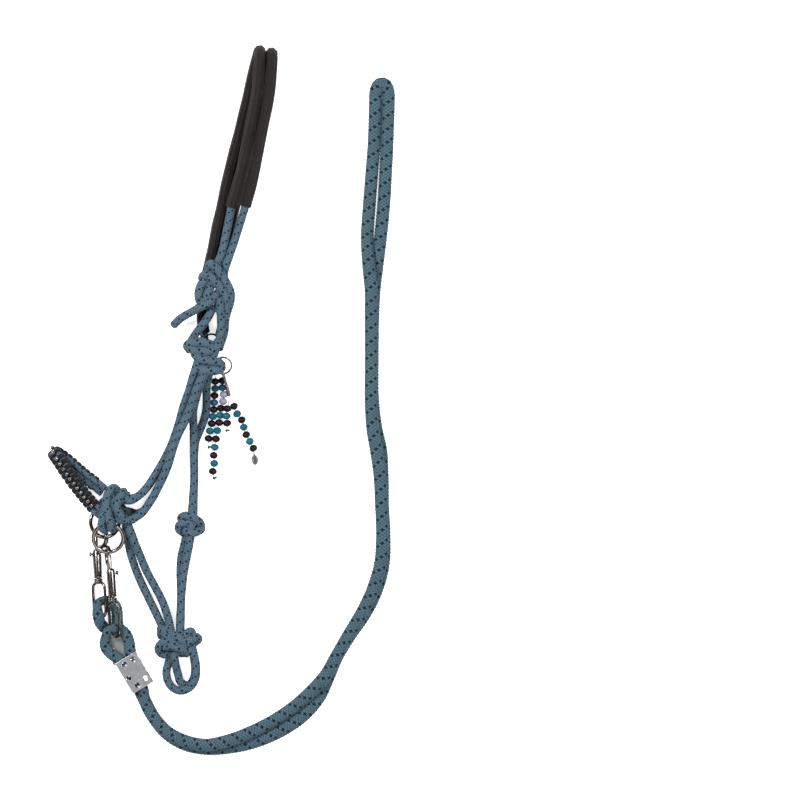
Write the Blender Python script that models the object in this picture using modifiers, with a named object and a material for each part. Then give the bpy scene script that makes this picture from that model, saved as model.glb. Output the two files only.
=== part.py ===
"""Rope halter with clip-on reins and bead charms, laid flat on its side.

The halter lies on a table with its near side on top. +Z is up, +Y points from the noseband to the
crown and the origin is on the table, under the middle of the halter itself, without its reins.
The crown rope ends pass through two padded sleeves and tie into a loop above the near ear knot. Each
nose knot holds a ring, and a bolt snap on each ring carries one end of the looped rein.
Routes are in millimetres. Each is a short list of points that a smooth curve runs through.
"""
import math

import bmesh
import bpy
from mathutils import Matrix, Vector

MM = 0.001
GAP = 0.3                # clearance between pieces that touch

ROPE_RADIUS = 4.1        # halter rope
SLEEVE_RADIUS = 5.9      # padded crown sleeve, outside
SLEEVE_WALL = 1.15
SLEEVE_FIRST, SLEEVE_LAST = 1, 23        # route points where the sleeves begin and end
KNOT_RADIUS = 4.6        # a strand inside a knot, with its neighbours pressed against it
REIN_RADIUS = 5.6
REIN_END_RADIUS = 4.4    # rein squeezed inside its clamps and end loops
REIN_SPACING = 2 * REIN_RADIUS + GAP
STEP = 20.0              # longest stretch between two points of a tube
LONG_STEP, REIN_STEP = 32.0, 34.0
LAYER_TOP = 42.1         # a far knot is the near knot mirrored inside this height
EAR_KNOT_CORE = (44, 14, 31.5)
EAR_KNOT_SIZE = (13, 15, 7.0)            # half of each side of its filling
RING_CUT = 2.0           # radius of the channel that a charm ring passes through a knot in
RING_ROOM = 1.6          # play of a rein ring in the channel through its nose knot
FAR_KNOT_TOP, FAR_KNOT_SHARE = -114.0, 0.75      # the far nose knot's upper end and how much shorter it is
NEAR_NOSE_CORES = [((-52, -135, 31.5), (9, 20, 6.5)), ((-46, -140, 31.5), (10, 12, 6.5))]
FAR_NOSE_CORES = [((-51, -131, 10.6), (9, 15, 6.5)), ((-45, -134, 10.6), (10, 9, 6.5))]

BAND_ROPE_RADIUS = 3.3   # each of the noseband's two ropes
BAND_PITCH = 7.0         # between their centres
BAND_AXIS = (-0.66, -0.61, -0.43)        # across the band, the same all the way round the nose
LACE_RADIUS = 0.8
LACE_PITCH = 5.8
LACE_START, LACE_STOP = 11.0, 12.0       # bare rope left at each end of the band
BALL_RADIUS = 1.7
BALL_HEIGHT = 7.2        # ball centres above the middle of the band
LINK_RADIUS = 0.5

RING_RADIUS = 15.0       # rein rings, to the middle of the wire
RING_WIRE = 2.0
NEAR_RING_AT = (-53.5, -167.0, 19.0)
NEAR_RING_TILT = (math.radians(21.5), 0.0)
FAR_RING_AT = (-57.0, -151.0, 11.2)
FAR_RING_TILT = (0.0, math.radians(20.0))

# Bolt snap in its own frame: X runs from the hook to the eye, Y towards the hook's open side
HOOK_CENTRE = (-13.2, 7.5)
HOOK_RADIUS = 9.5
HOOK_WIRE = 2.3
BARREL_RADIUS = 4.4
BARREL_LENGTH = 27.0
BORE_RADIUS = 2.4
BOLT_RADIUS = 1.9
BOLT_TIP, BOLT_BACK = -15.8, 9.0
BOLT_TRAVEL = 8.0
SLOT_WIDTH = 2.8
SPRING_RADIUS = 1.55
SPRING_WIRE = 0.3
SPRING_TURNS = 5
SPRING_ENDS = (9.7, 20.0)
STEM_RADIUS = 2.0
EYE_HALF_WIDTH = 7.2
EYE_START, EYE_END = 4.6, 67.0          # the loop's two ends: from the barrel's end, and from the origin
COLLAR_RADIUS = 4.6
EYE_WIRE = 1.6
NEAR_SNAP = dict(at=(-51.2, -199.0, 20.4), along=(0.077, -0.997, -0.010),
                 hook_roll=-99.0, knob_roll=10.0, eye_roll=50.0)
FAR_SNAP = dict(at=(-65.4, -180.0, 5.4), along=(0.060, -0.997, 0.040),
                hook_roll=50.0, knob_roll=172.0, eye_roll=35.0)

CLAMP_SIZE = (35.0, 24.0, 1.2)           # along, across, thickness
CLAMP_GAP = 9.4                          # between the two plates
CLAMP_HOLE_RADIUS = 2.2
CLAMP_HOLES = ((-12.5, -4.5), (-12.5, 5.5), (2.0, -8.0), (12.0, -4.0), (10.5, 6.5))
NEAR_CLAMP = dict(at=(-27.3, -301.3, 18.4), along=(0.514, -0.858, 0.0))
FAR_CLAMP = dict(at=(-43.0, -274.0, 6.1), along=(0.34, -0.94, 0.0))

CHARM_RING_RADIUS = 9.0
CHARM_RING_WIRE = 0.8
BEAD_RADIUS = 3.5
BEAD_HEIGHT = 3.9        # bead centres above the table
THREAD_RADIUS = 0.6
CLASP_RADIUS = 0.9
CLASP_BODY_FIRST, CLASP_BODY_SWELL = 7, 1.8      # where the clasp's thick body begins, and how thick it is
NEAR_CHARM_RING_AT = (60.8, 5.4, 26.0)
NEAR_CHARM_RING_TILT = math.radians(25.0)
FAR_CHARM_RING_AT = (49.5, 28.0, 14.5)
FAR_CHARM_RING_TILT = math.radians(10.0)
FEATHER_AT = (92.4, -82.6, 1.2)
FEATHER_TURN = 12.0
FEATHER_OUTLINE = ((0, 0), (1.7, -0.9), (2.0, -3.0), (2.7, -5.5), (2.2, -8.2), (0.4, -11.0),
                   (-1.7, -9.0), (-2.4, -6.0), (-1.9, -3.2), (-1.7, -0.9))

# Routes: (x, y, z) in mm
CROWN_LEFT = [
    (43.5, 26, 10), (41.8, 38, 8), (40.5, 53, 6.3), (41.5, 71, 6.1), (44.5, 91, 6.1), (48.5, 110, 6.1),
    (53.5, 134, 6.1), (58, 155, 6.1), (63.5, 181, 6.1), (71.5, 215, 6.1), (79, 244, 6.1),
    (85.5, 271, 6.1), (90.5, 293, 6.4), (94.5, 309.5, 8.5), (96.8, 318, 13), (97.8, 320.2, 18.5),
    (98.2, 316.5, 25), (97.6, 306.5, 29.5), (96.3, 289, 29.8), (93.5, 269, 27), (88.2, 243, 23.5),
    (82.5, 213, 20.5), (76, 187, 19), (69.6, 163, 18.4), (64.8, 139, 17.6), (60.2, 119, 17.2),
    (56.6, 108.5, 17),
]
CROWN_RIGHT = [
    (53.5, 24.5, 10), (58.8, 33.5, 8), (61.6, 48, 6.3), (61.2, 68, 6.1), (60.2, 92, 6.1), (61.6, 113, 6.1),
    (66, 135, 6.1), (70.5, 156, 6.1), (76, 181, 6.1), (84, 215, 6.1), (91.5, 244, 6.1), (98, 271, 6.1),
    (103, 291, 6.4), (107, 307, 8.5), (109.2, 315.3, 13), (110.1, 317.5, 18.5), (110.4, 313.8, 25),
    (109.9, 304, 29.5), (108.6, 287, 29.8), (106, 268, 27), (100.8, 243, 23.5), (95.2, 213, 20.5),
    (89.4, 187, 19), (83.3, 164, 18.4), (75.7, 139, 17.8), (69, 119, 17.4), (65.2, 108.5, 17),
]
TIE_KNOT = {
    "upper_turn": [
        (50, 97, 18), (46.8, 102.5, 20), (48.8, 107, 24), (54, 103.5, 27), (60.3, 95, 28.5),
        (65, 87, 28), (68.6, 78.6, 26.5), (68.4, 69.5, 25), (65.8, 61, 23), (63.5, 53, 22),
    ],
    "second_turn": [
        (45, 88, 19), (40.6, 92, 22), (42.2, 96, 26.5), (50, 93, 30), (57, 85.5, 30.5), (62.5, 78, 29.5),
        (65.5, 70, 27), (65.8, 62, 24),
    ],
    "left_turn": [
        (46, 93, 25), (40.5, 88, 26), (37.2, 80, 25), (37.6, 71, 22.5), (43, 65, 19),
    ],
    "middle_turn": [
        (50, 88, 25.5), (47, 80, 26.5), (43.5, 72, 26.5), (40, 66, 23),
    ],
    "tail_turn": [
        (59, 81, 23), (53.5, 75, 26), (45, 67, 28), (35.5, 62.8, 26.5),
    ],
    "loop_top": [
        (55, 60, 19), (57, 68, 21), (58.3, 70.8, 24.6), (58.8, 65, 26.6), (59, 56, 26),
    ],
    "turn_between": [
        (51, 100, 22), (59, 89, 23), (64.5, 77, 22), (63.5, 64, 20.5),
    ],
    "left_end": [
        (57, 110, 17), (54.5, 102, 18.5), (54, 92, 20),
    ],
    "right_end": [
        (65.4, 109.5, 17), (62.6, 101, 18.5), (61.5, 90, 20),
    ],
}
TIE_TAIL = [
    (39, 64.2, 26.5), (32, 60.2, 25), (24, 55.9, 21), (17.5, 51.8, 14), (11.8, 46.3, 5.5),
]
TIE_LEG_LEFT = [
    (50, 61, 20.5), (46, 53, 22), (41, 46, 24), (35, 38.5, 27), (30, 31, 29.5),
]
TIE_LEG_RIGHT = [
    (59, 61, 25.6), (59.2, 51, 26), (59.4, 42, 26.8), (58.2, 33, 28.2), (55.5, 25, 30), (52.5, 17, 31),
]
CHEEK_NEAR_OUTER = [
    (34.8, 6, 30.5), (32.3, -2, 29), (29.8, -10, 27), (27, -20, 24), (22.2, -33, 21.2), (16.4, -54, 20.1),
    (8.6, -76, 20.1), (1, -91, 20), (-7, -104.5, 19.6), (-15.5, -117, 21.2), (-23.5, -125.2, 25),
    (-31, -129.2, 28), (-38, -129, 29),
]
CHEEK_NEAR_INNER = [
    (41.8, -3, 33.7), (38.6, -9, 32.6), (35.7, -16, 31.4), (32.6, -25, 30), (28.4, -37, 28.6),
    (23.3, -50, 28), (16.6, -62.5, 28), (11.2, -77.3, 28), (6, -95, 27.5), (1.4, -106, 27),
    (-3.4, -115.5, 27), (-8.2, -125, 27.4), (-13.4, -133.2, 28), (-19.5, -141.7, 29), (-27, -147, 30.5),
]
CHEEK_FAR_OUTER = [
    (33.8, 2, 9), (30.2, -9, 5.2), (27, -20, 4.4), (22.2, -33, 4.3), (16.4, -54, 4.3), (8.6, -76, 4.3),
    (1, -91, 4.3), (-7, -104.5, 4.3), (-15.5, -117, 4.8), (-24.5, -125.5, 7), (-36, -129, 9),
]
CHEEK_FAR_INNER = [
    (41.3, -1, 10.9), (37.7, -10, 10.5), (32.8, -25, 9.7), (28.4, -37, 10.1), (23.3, -50, 11.8),
    (16.6, -62.5, 12.2), (11.2, -77.3, 12.2), (6, -95, 11), (1.4, -106, 8.4), (-3.4, -115.5, 6.4),
    (-8.2, -125, 5.4), (-13.4, -133.2, 5.6), (-19.5, -140.6, 7.4), (-25.5, -142.6, 9), (-31, -141, 9.5),
]
THROAT_NEAR = [
    (43, -3, 25), (38, -15, 20.5), (33.8, -29, 18.9), (31.5, -39, 18.2), (31.3, -49, 16.8), (31.7, -60, 14.6),
    (32, -69, 13.2), (32.2, -89, 13), (32.3, -109, 13), (31.2, -126, 14.5), (29.5, -146, 15.5),
]
THROAT_FAR = [
    (48.5, 0, 15.8), (45.6, -9, 15.4), (44.5, -20, 12.3), (44.6, -30, 9.8), (44.2, -39, 6.5),
    (41.6, -50, 4.8),
    (37.6, -60, 4.3), (34, -69, 4.3), (32.5, -80, 4.3), (32.3, -95, 4.3), (32.3, -109, 4.3),
    (31.8, -126, 5), (31.5, -146, 6.2),
]
THROAT_LOWER_LEFT = [
    (24.5, -161, 6), (22.5, -172, 4.6), (19.5, -185, 4.4), (18.4, -199, 4.3), (19, -219, 4.3),
    (19, -239, 4.3), (18.5, -260, 5.5),
]
THROAT_LOWER_RIGHT = [
    (29.5, -160, 13.8), (27.7, -172, 13.1), (25, -186, 12.9), (22.4, -199, 12.9), (20, -219, 12.9),
    (18.6, -239, 12.9), (18, -260, 14.3),
]
CHIN_NEAR = [
    (-34, -152.5, 25), (-30.8, -161, 22.5), (-27, -171.5, 19), (-22, -184, 15), (-15.8, -199, 12.5),
    (-7.4, -215, 10.5), (-0.2, -229, 9.5), (5, -243, 10), (8, -254, 12.5), (9.5, -262, 14.5),
]
CHIN_FAR = [
    (-36.5, -147.5, 9.5), (-35.8, -157, 7), (-33.8, -171, 5), (-30.9, -184, 4.4), (-26, -199, 4.4),
    (-19.2, -215, 4.4), (-12, -230, 4.4), (-5.2, -244, 5), (0, -255, 7), (2.5, -262, 8.5),
]
LEAD_LOOP_OUTER = [
    (30, -275, 13), (32.5, -285, 12.8), (34.3, -297, 12.8), (33.5, -307, 12.8), (28.5, -315.6, 12.8),
    (20.5, -319.4, 12.5), (12, -317.2, 8.5), (6, -310, 4.9), (4.4, -301, 4.5), (6.7, -291, 4.6),
    (9.5, -280, 5),
]
LEAD_LOOP_INNER = [
    (13.5, -278, 12.8), (12.5, -286, 12.5), (13.8, -294, 9), (16, -303, 5.5), (18.6, -311, 4.2),
    (26.5, -314, 4.2), (31.5, -307.5, 4.2), (33, -300, 4.2), (32.5, -290, 4.2), (30, -277, 4.4),
]
NOSEBAND = [
    (-60, -142, 31), (-66.2, -137, 29.5), (-74.2, -128, 28), (-83.2, -117, 26.8),
    (-92.2, -105, 25.8), (-99.7, -93.7, 24.5), (-104.9, -85.8, 21.8), (-107.2, -82.2, 17.5),
    (-106.3, -81.8, 13), (-101.6, -84.6, 10), (-93.5, -90.8, 9.4), (-84.4, -99, 9.4), (-74.2, -107.3, 9.6),
    (-65, -114.4, 10), (-58, -120.3, 10.4),
]
NEAR_REIN_LOOP = [
    (-35.7, -297.2, 18.4), (-40.4, -289.3, 18.4), (-46.5, -285.4, 18.4), (-52.7, -280.8, 18.8),
    (-56.4, -274.5, 20.3), (-56.5, -267, 22), (-54.2, -260.8, 23.2), (-50.7, -258.2, 22.3),
    (-46.6, -257.4, 19.8), (-41.8, -258.2, 17.2), (-36.4, -262.4, 16.9), (-33.2, -269.6, 17.3),
    (-32, -277.5, 18), (-30.8, -284, 18.4), (-26.5, -291.8, 18.4),
]
FAR_REIN_LOOP = [
    (-51, -268.2, 6.1), (-54.1, -259.7, 6), (-59, -255.3, 7.9), (-62.4, -250, 13.3),
    (-63.8, -243.5, 14.7), (-64.4, -237.5, 13.2), (-63.9, -233, 10.4), (-61, -230.2, 6.6),
    (-57, -229.4, 4.9), (-51.5, -230.6, 4.7), (-47, -234.5, 4.8), (-45, -240.5, 4.8),
    (-44.6, -248, 5.2), (-43.8, -256, 6.1), (-40.4, -264.4, 6.1),
]
NOSE_KNOT = {
    "long_turn": [
        (-48, -129, 25.5), (-45.5, -121, 26.5), (-48.5, -117, 30), (-53.2, -122.5, 35),
        (-55.2, -131, 37.2), (-53.4, -142, 37.2), (-50.9, -152, 35), (-49.3, -157.8, 29.5),
        (-49.5, -153, 25.5),
    ],
    "right_turn": [
        (-44, -132, 26), (-40.5, -125, 26.5), (-39, -122, 30), (-42.5, -127.5, 34.5),
        (-45, -135, 36.5), (-41.5, -143, 35), (-36, -150, 31),
    ],
    "left_turn": [
        (-61, -136, 29), (-57.5, -138, 33), (-58.2, -146, 34), (-60, -154.5, 31), (-57.5, -158.5, 27),
        (-53, -155, 25.5),
    ],
    "inner_cheek": [
        (-33, -149.5, 30), (-40, -148.5, 31), (-47, -146.5, 29), (-53, -143, 27),
    ],
    "outer_cheek": [
        (-34, -127.5, 29), (-42, -128, 29.5), (-50, -129, 28),
    ],
    "middle_turn": [
        (-49.5, -124, 30.5), (-48, -133, 33.5), (-43.5, -142, 34), (-36, -150, 30),
    ],
    "chin": [
        (-35, -152, 27), (-41, -145, 27), (-48, -138, 26),
    ],
}
FIADOR_KNOT = {
    "chin_right": [
        (6, -256, 13), (10, -262.5, 17.5), (17, -267.5, 19.5), (24, -270.5, 18.5), (29, -269, 14),
    ],
    "chin_left": [
        (-1.5, -256, 9), (2.5, -261.5, 14), (8.5, -268.5, 18), (15, -275, 18.5), (21, -280, 16.5),
        (25.5, -282.5, 12),
    ],
    "left_lobe": [
        (0, -266, 7), (-1.2, -261.5, 9), (0.5, -258.5, 12.5), (4.5, -260, 15),
    ],
    "left_curl": [
        (10, -271, 17), (3, -270.5, 17.5), (-2, -274, 15.5), (-3, -279.5, 11), (0.5, -283, 8),
        (6.5, -282, 8), (11, -278, 9),
    ],
    "middle": [
        (3, -275.5, 16), (9.5, -275, 18.5), (17, -277, 19), (23.5, -279.5, 16),
    ],
    "right_lobe": [
        (23, -266, 15.5), (26, -261.5, 15), (29.5, -260.5, 12), (30, -264, 7.5),
    ],
    "right_ball": [
        (22, -274, 17), (27.5, -270, 18.5), (33.8, -265.8, 15.5), (36.4, -268, 10.5),
        (32, -271.5, 7.5),
    ],
    "right_leg": [
        (31, -271, 13.5), (30, -276, 14), (26.5, -281, 14),
    ],
    "bottom": [
        (14, -279.5, 12), (21, -282, 14), (27, -279.5, 14),
    ],
    "throat_rope": [
        (18.5, -258, 13.5), (19, -265, 14.5), (21, -273, 13),
    ],
}
NEAR_REIN_END = [
    (-25.8, -303.9, 18.4), (-22.2, -309.9, 18.4), (-18.5, -316, 18.4),
]
FAR_REIN_END = [
    (-42, -276.8, 6.1), (-39.6, -283.4, 6.1), (-37, -290.5, 6.1),
]
FAR_REIN_APPROACH = [
    (-30.5, -304, 5.9), (-23.2, -317, 5.8),
]
REIN_TOP_FOLD = [
    (213.6, 277, 5.8), (214.8, 282.8, 5.8), (217, 286.2, 5.8), (220, 287.4, 5.8),
    (223, 286.2, 5.8), (225.2, 282.8, 5.8), (226.4, 277, 5.8),
]
CLASP_BODY = [
    (61.6, -5.3, 24.3), (61.1, -3, 24.9), (60.9, -1.2, 23.7), (61.1, -0.8, 21.6), (61.5, -2, 19.9),
    (62.8, -6.9, 16.6), (64, -11.8, 13.4), (65.4, -17.2, 9.8), (66.3, -21, 7.8), (67, -24.5, 6.2),
]
CLASP_LEVER = [
    (62.2, -7.3, 23.2), (63.3, -11, 20.6), (64.2, -14.3, 17.6), (64.8, -15.8, 15),
]
CLASP_TO_RIGHT = [
    (69.4, -27.5, 5), (71.6, -31, 4.1),
]
CLASP_TO_SHORT = [
    (67.4, -28, 7), (66.4, -32.8, 9),
]
RIGHT_TO_FEATHER = [
    (92.1, -81.6, 2.6),
]
SHORT_TAIL = [
    (65.3, -57.5, 2.4), (64, -61, 1.2), (69, -63.5, 1),
]
LEFT_TAIL = [
    (46.8, -73.5, 2.4), (46.6, -78, 1.2),
]
LONG_TAIL = [
    (51.2, -105, 2.4), (52.2, -108.4, 1.2), (58.5, -108.8, 1),
]
RING_TO_LEFT = [
    (52.3, -0.5, 6.8), (53.2, -6, 4.1),
]
RING_TO_LONG = [
    (59, 0.5, 6.8), (60.7, -5, 4.1),
]
REIN_STATIONS = [
    (-17.2, -329, 0.2), (-7.8, -346.8, 0.2), (4.6, -361, 0.8), (22, -371, 1.6), (43, -375.5, 1.8),
    (68, -372.5, 3.5), (93, -365, 5.3), (118, -353, 6.2), (138, -339, 6.2), (154.5, -321.5, 4.6),
    (165, -305, 1.6), (175, -285, 0.3), (188, -263, 0.6), (201.5, -242, 1.5), (213, -218, 1.8),
    (220, -192, 1.4), (221.3, -167, 0.9), (220, -134, 0.6), (219, -104, 1.2), (216.5, -79, 2.2),
    (212.3, -57, 1.6), (210, -31, 0.8), (209.8, 11, 0.5), (210, 56, 0.9), (210.6, 81, 1.6),
    (210.9, 106, 4.3), (212, 135, 6.7), (214.5, 166, 7.2), (216.8, 199, 6.9), (218.5, 226, 6.5),
    (219.4, 251, 6.5), (219.9, 269, 6.5),
]
NEAR_CHARM_RIGHT = [
    (72, -35.2), (75.2, -42.8), (79.8, -48.9), (81.8, -56.2), (84.2, -63.6), (87.8, -70.4),
    (91.3, -77.3),
]
NEAR_CHARM_SHORT = [
    (65.4, -37.6, 9.6), (64.6, -45, 9), (65.2, -52.2, 5.6),
]
FAR_CHARM_LEFT = [
    (53.1, -10.4), (53.1, -17.5), (52.5, -24.5), (52.1, -31.5), (51.7, -38.5), (50.8, -45.5),
    (49.8, -52.6), (48, -60), (46.7, -67.6),
]
FAR_CHARM_LONG = [
    (60.5, -9.6), (60.4, -16.6), (62, -23.4), (61.2, -30.4), (59.1, -37.2), (58.2, -44.3),
    (57.3, -51.6), (55.4, -59.6), (54.1, -67.9), (52.8, -76.2), (51.7, -84.3), (52.3, -92.4),
    (50.8, -100.3),
]
THROAT_KNOT = {
    "top_turn": [
        (21.5, -150, 7), (19, -147, 12), (23.5, -144.5, 16.5), (31.5, -147, 17.5), (38, -151.5, 15),
        (39, -155, 9),
    ],
    "left_turn": [
        (30, -152, 13), (24, -151.5, 15), (18, -153.5, 14), (16.8, -158, 10.5), (21, -161.5, 8),
    ],
    "lower_turn": [
        (23, -158.5, 14), (29.5, -162, 16.5), (36, -160.5, 15), (39.5, -157.5, 10.5), (36, -156, 6),
    ],
    "middle": [
        (28, -147, 14), (29.5, -154.5, 16.5), (28, -162.5, 13),
    ],
}
EAR_KNOT = {
    "top_wrap": [
        (28.5, 21, 26), (25.6, 25, 29), (29.5, 28.2, 33), (37, 29, 35), (43.5, 28, 34.5), (48.5, 26, 31.5),
        (49, 26, 27),
    ],
    "from_leg": [
        (57, 30, 29.5), (53.5, 23.5, 32), (46.5, 19.8, 34.2), (38, 19.8, 34.6), (31.5, 21.3, 32.5),
        (28, 24, 28.5),
    ],
    "lower_band": [
        (33, 19, 27), (34, 16, 31.5), (38.5, 12.8, 34.6), (44, 10.8, 35.6), (51, 9.6, 35), (57, 8.2, 32),
        (59.6, 5.5, 28),
    ],
    "bottom_wrap": [
        (38, 1, 28), (41, 1.2, 32.5), (47, 0.8, 34), (54, 0.8, 33.4), (59.3, 3, 29.5), (58.5, 6.5, 26),
    ],
    "filling": [
        (30, 23, 27), (39, 15, 28), (47, 8, 28), (54, 4, 27),
    ],
    "upper_filling": [
        (34, 28, 28), (44, 24, 28), (54, 17, 27),
    ],
}

# ---------------------------------------------------------------- scene and materials

def clear_scene():
    for old in list(bpy.data.objects):
        bpy.data.objects.remove(old, do_unlink=True)


def new_collection(name):
    collection = bpy.data.collections.new(name)
    bpy.context.scene.collection.children.link(collection)
    return collection


def material(name, colour, roughness, metallic=0.0):
    made = bpy.data.materials.new(name)
    made.use_nodes = True
    shader = made.node_tree.nodes["Principled BSDF"]
    shader.inputs["Base Color"].default_value = (*colour, 1.0)
    shader.inputs["Roughness"].default_value = roughness
    shader.inputs["Metallic"].default_value = metallic
    return made


clear_scene()
HALTER = new_collection("rope_halter")
CUTTERS = new_collection("cutters")
BLUE_ROPE = material("blue_rope", (0.10, 0.165, 0.215), 0.85)
BLACK_WEB = material("black_web", (0.022, 0.021, 0.021), 0.8)
STEEL = material("nickel_plate", (0.62, 0.60, 0.57), 0.25, 1.0)
CLAMP_METAL = material("clamp_metal", (0.55, 0.55, 0.57), 0.38, 1.0)
BEAD_GLASS = material("bead_glass", (0.02, 0.20, 0.27), 0.2)


# ---------------------------------------------------------------- curves

def to_metres(point):
    return Vector(point[:3]) * MM


def smooth_route(points, step=STEP):
    """Points of a smooth curve through the route, no further apart than step, in metres."""
    known = [Vector(p[:3]) for p in points]
    route = []
    for i in range(len(known) - 1):
        start, end = known[i], known[i + 1]
        before = known[i - 1] if i else start - (end - start)
        after = known[i + 2] if i + 2 < len(known) else end + (end - start)
        span, lead, trail = (end - start).length, (start - before).length, (after - end).length
        out = ((start - before) / lead - (end - before) / (lead + span)) * span + (end - start)
        into = ((after - end) / trail - (after - start) / (trail + span)) * span + (end - start)
        pieces = max(1, math.ceil(span / step))
        for k in range(pieces):
            t = k / pieces
            route.append((2 * t**3 - 3 * t**2 + 1) * start + (t**3 - 2 * t**2 + t) * out
                         + (3 * t**2 - 2 * t**3) * end + (t**3 - t**2) * into)
    route.append(known[-1])
    return [p * MM for p in route]


def tube_curve(name, route, radius, swell=None, closed=False, caps=True, resolution=2):
    """A curve object that gives a tube of the radius (mm) along a route in metres."""
    curve = bpy.data.curves.new(name, "CURVE")
    curve.dimensions = "3D"
    curve.bevel_depth = radius * MM
    curve.bevel_resolution = resolution
    curve.use_fill_caps = caps and not closed
    spline = curve.splines.new("POLY")
    spline.points.add(len(route) - 1)
    for i, place in enumerate(route):
        spline.points[i].co = (*place, 1.0)
        spline.points[i].radius = swell[i] if swell else 1.0
    spline.use_cyclic_u = closed
    return bpy.data.objects.new(name, curve)


def add(obj, finish, collection=None):
    (collection or HALTER).objects.link(obj)
    obj.data.materials.append(finish)
    for spline in getattr(obj.data, "splines", []):
        spline.use_smooth = True
    return obj


def rope(name, points, radius=ROPE_RADIUS, finish=BLUE_ROPE, swell=None):
    return add(tube_curve(name, smooth_route(points), radius, swell), finish)


# ---------------------------------------------------------------- solids

def evaluated_mesh(obj):
    """The object's mesh with its modifiers, its loose caps welded, in world space."""
    bpy.context.view_layer.update()
    graph = bpy.context.evaluated_depsgraph_get()
    mesh = bpy.data.meshes.new_from_object(obj.evaluated_get(graph))
    mesh.transform(obj.matrix_world)
    shape = bmesh.new()
    shape.from_mesh(mesh)
    bmesh.ops.remove_doubles(shape, verts=shape.verts, dist=1e-6)
    shape.to_mesh(mesh)
    shape.free()
    return mesh


def joined(name, pieces):
    """One mesh object made of several, whose shapes may run into each other. The pieces are removed."""
    shape = bmesh.new()
    for piece in pieces:
        shape.from_mesh(evaluated_mesh(piece))
    mesh = bpy.data.meshes.new(name)
    shape.to_mesh(mesh)
    shape.free()
    for piece in pieces:
        bpy.data.objects.remove(piece, do_unlink=True)
    return bpy.data.objects.new(name, mesh)


def as_cutter(obj):
    CUTTERS.objects.link(obj)
    obj.hide_render = True
    obj.display_type = "WIRE"
    return obj


def boolean(obj, other, operation):
    step = obj.modifiers.new(operation.lower(), "BOOLEAN")
    step.operation = operation
    step.object = other


def finished(obj, finish, smooth=True):
    """The object with its modifiers applied and only its largest piece kept."""
    mesh = evaluated_mesh(obj)
    shape = bmesh.new()
    shape.from_mesh(mesh)
    groups, seen = [], set()
    for first in shape.verts:
        if first in seen:
            continue
        group, front = [], [first]
        seen.add(first)
        while front:
            vertex = front.pop()
            group.append(vertex)
            for edge in vertex.link_edges:
                near = edge.other_vert(vertex)
                if near not in seen:
                    seen.add(near)
                    front.append(near)
        groups.append(group)
    largest = max(groups, key=len)
    strays = [v for group in groups if group is not largest for v in group]
    bmesh.ops.delete(shape, geom=strays, context="VERTS")
    shape.to_mesh(mesh)
    shape.free()
    name = obj.name
    bpy.data.objects.remove(obj, do_unlink=True)
    made = bpy.data.objects.new(name, mesh)
    add(made, finish)
    if smooth:
        mesh.shade_smooth()
        mesh.set_sharp_from_angle(angle=math.radians(40))
    return made


def linked(obj, collection=None):
    (collection or bpy.context.scene.collection).objects.link(obj)
    return obj


def primitive(kind, frame=None, **options):
    """A mesh object from bmesh's create_cube, create_cone or create_uvsphere, sizes in mm."""
    shape = bmesh.new()
    getattr(bmesh.ops, "create_" + kind)(shape, **options)
    mesh = bpy.data.meshes.new(kind)
    shape.to_mesh(mesh)
    shape.free()
    mesh.transform(Matrix.Scale(MM, 4))
    if frame:
        mesh.transform(frame)
    return linked(bpy.data.objects.new(kind, mesh))


def place(x, y, z, turn=None):
    """A placement in mm, with an optional rotation."""
    return Matrix.Translation(Vector((x, y, z)) * MM) @ (turn or Matrix.Identity(4))


def cylinder(radius, start, end, frame=None, sides=16):
    """A cylinder along X from start to end, in mm."""
    along_x = Matrix.Rotation(math.pi / 2, 4, "Y")
    centre = place((start + end) / 2, 0, 0, along_x)
    return primitive("cone", (frame or Matrix.Identity(4)) @ centre, cap_ends=True, segments=sides,
                     radius1=radius, radius2=radius, depth=abs(end - start))


def box(size, centre, frame=None):
    shape = primitive("cube", place(*centre) @ Matrix.Diagonal((*size, 1.0)), size=1.0)
    if frame:
        shape.data.transform(frame)
    return shape


def ring_route(radius, frame, sides=28):
    return [frame @ (Vector((math.cos(a), math.sin(a), 0)) * radius * MM)
            for a in (2 * math.pi * k / sides for k in range(sides))]


# ---------------------------------------------------------------- knots

def grown_tube(points, radius, step=STEP):
    """A cutter as wide as a rope plus its clearance, longer than the rope at both ends."""
    route = smooth_route(points, step)
    first = (route[0] - route[1]).normalized() * GAP * MM
    last = (route[-1] - route[-2]).normalized() * GAP * MM
    route = [route[0] + first] + route[1:-1] + [route[-1] + last]
    return linked(tube_curve("rope_cut", route, (radius + GAP) / math.cos(math.pi / 8)))


def knot(name, strands, cores, cut_by, faces=340, finish=BLUE_ROPE):
    """A tied knot as one solid: strands and filling melted together, with the ropes' sockets cut in it."""
    pieces = [linked(tube_curve("strand", smooth_route(points, 5.0), KNOT_RADIUS)) for points in strands]
    for centre, size in cores:
        pieces.append(primitive("uvsphere", place(*centre) @ Matrix.Diagonal((*size, 1.0)),
                                u_segments=16, v_segments=10, radius=1.0))
    blob = linked(joined(name + "_strands", pieces))
    melt = blob.modifiers.new("melt", "REMESH")
    melt.mode = "VOXEL"
    melt.voxel_size = 1.6 * MM
    thin = blob.modifiers.new("thin", "DECIMATE")
    solid = linked(bpy.data.objects.new(name, evaluated_mesh(blob)))
    thin.ratio = min(1.0, faces / (2.0 * len(solid.data.polygons)))
    solid.data = evaluated_mesh(blob)
    bpy.data.objects.remove(blob, do_unlink=True)
    for i, piece in enumerate(cut_by):
        cutter = as_cutter(joined(f"{name}_cut_{i + 1}", [piece]))
        boolean(solid, cutter, "DIFFERENCE")
    return finished(solid, finish)


def mirrored(points):
    """A near knot's route turned over to make the far knot that lies under it."""
    return [(x, y, LAYER_TOP - z) for x, y, z in points]


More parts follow.
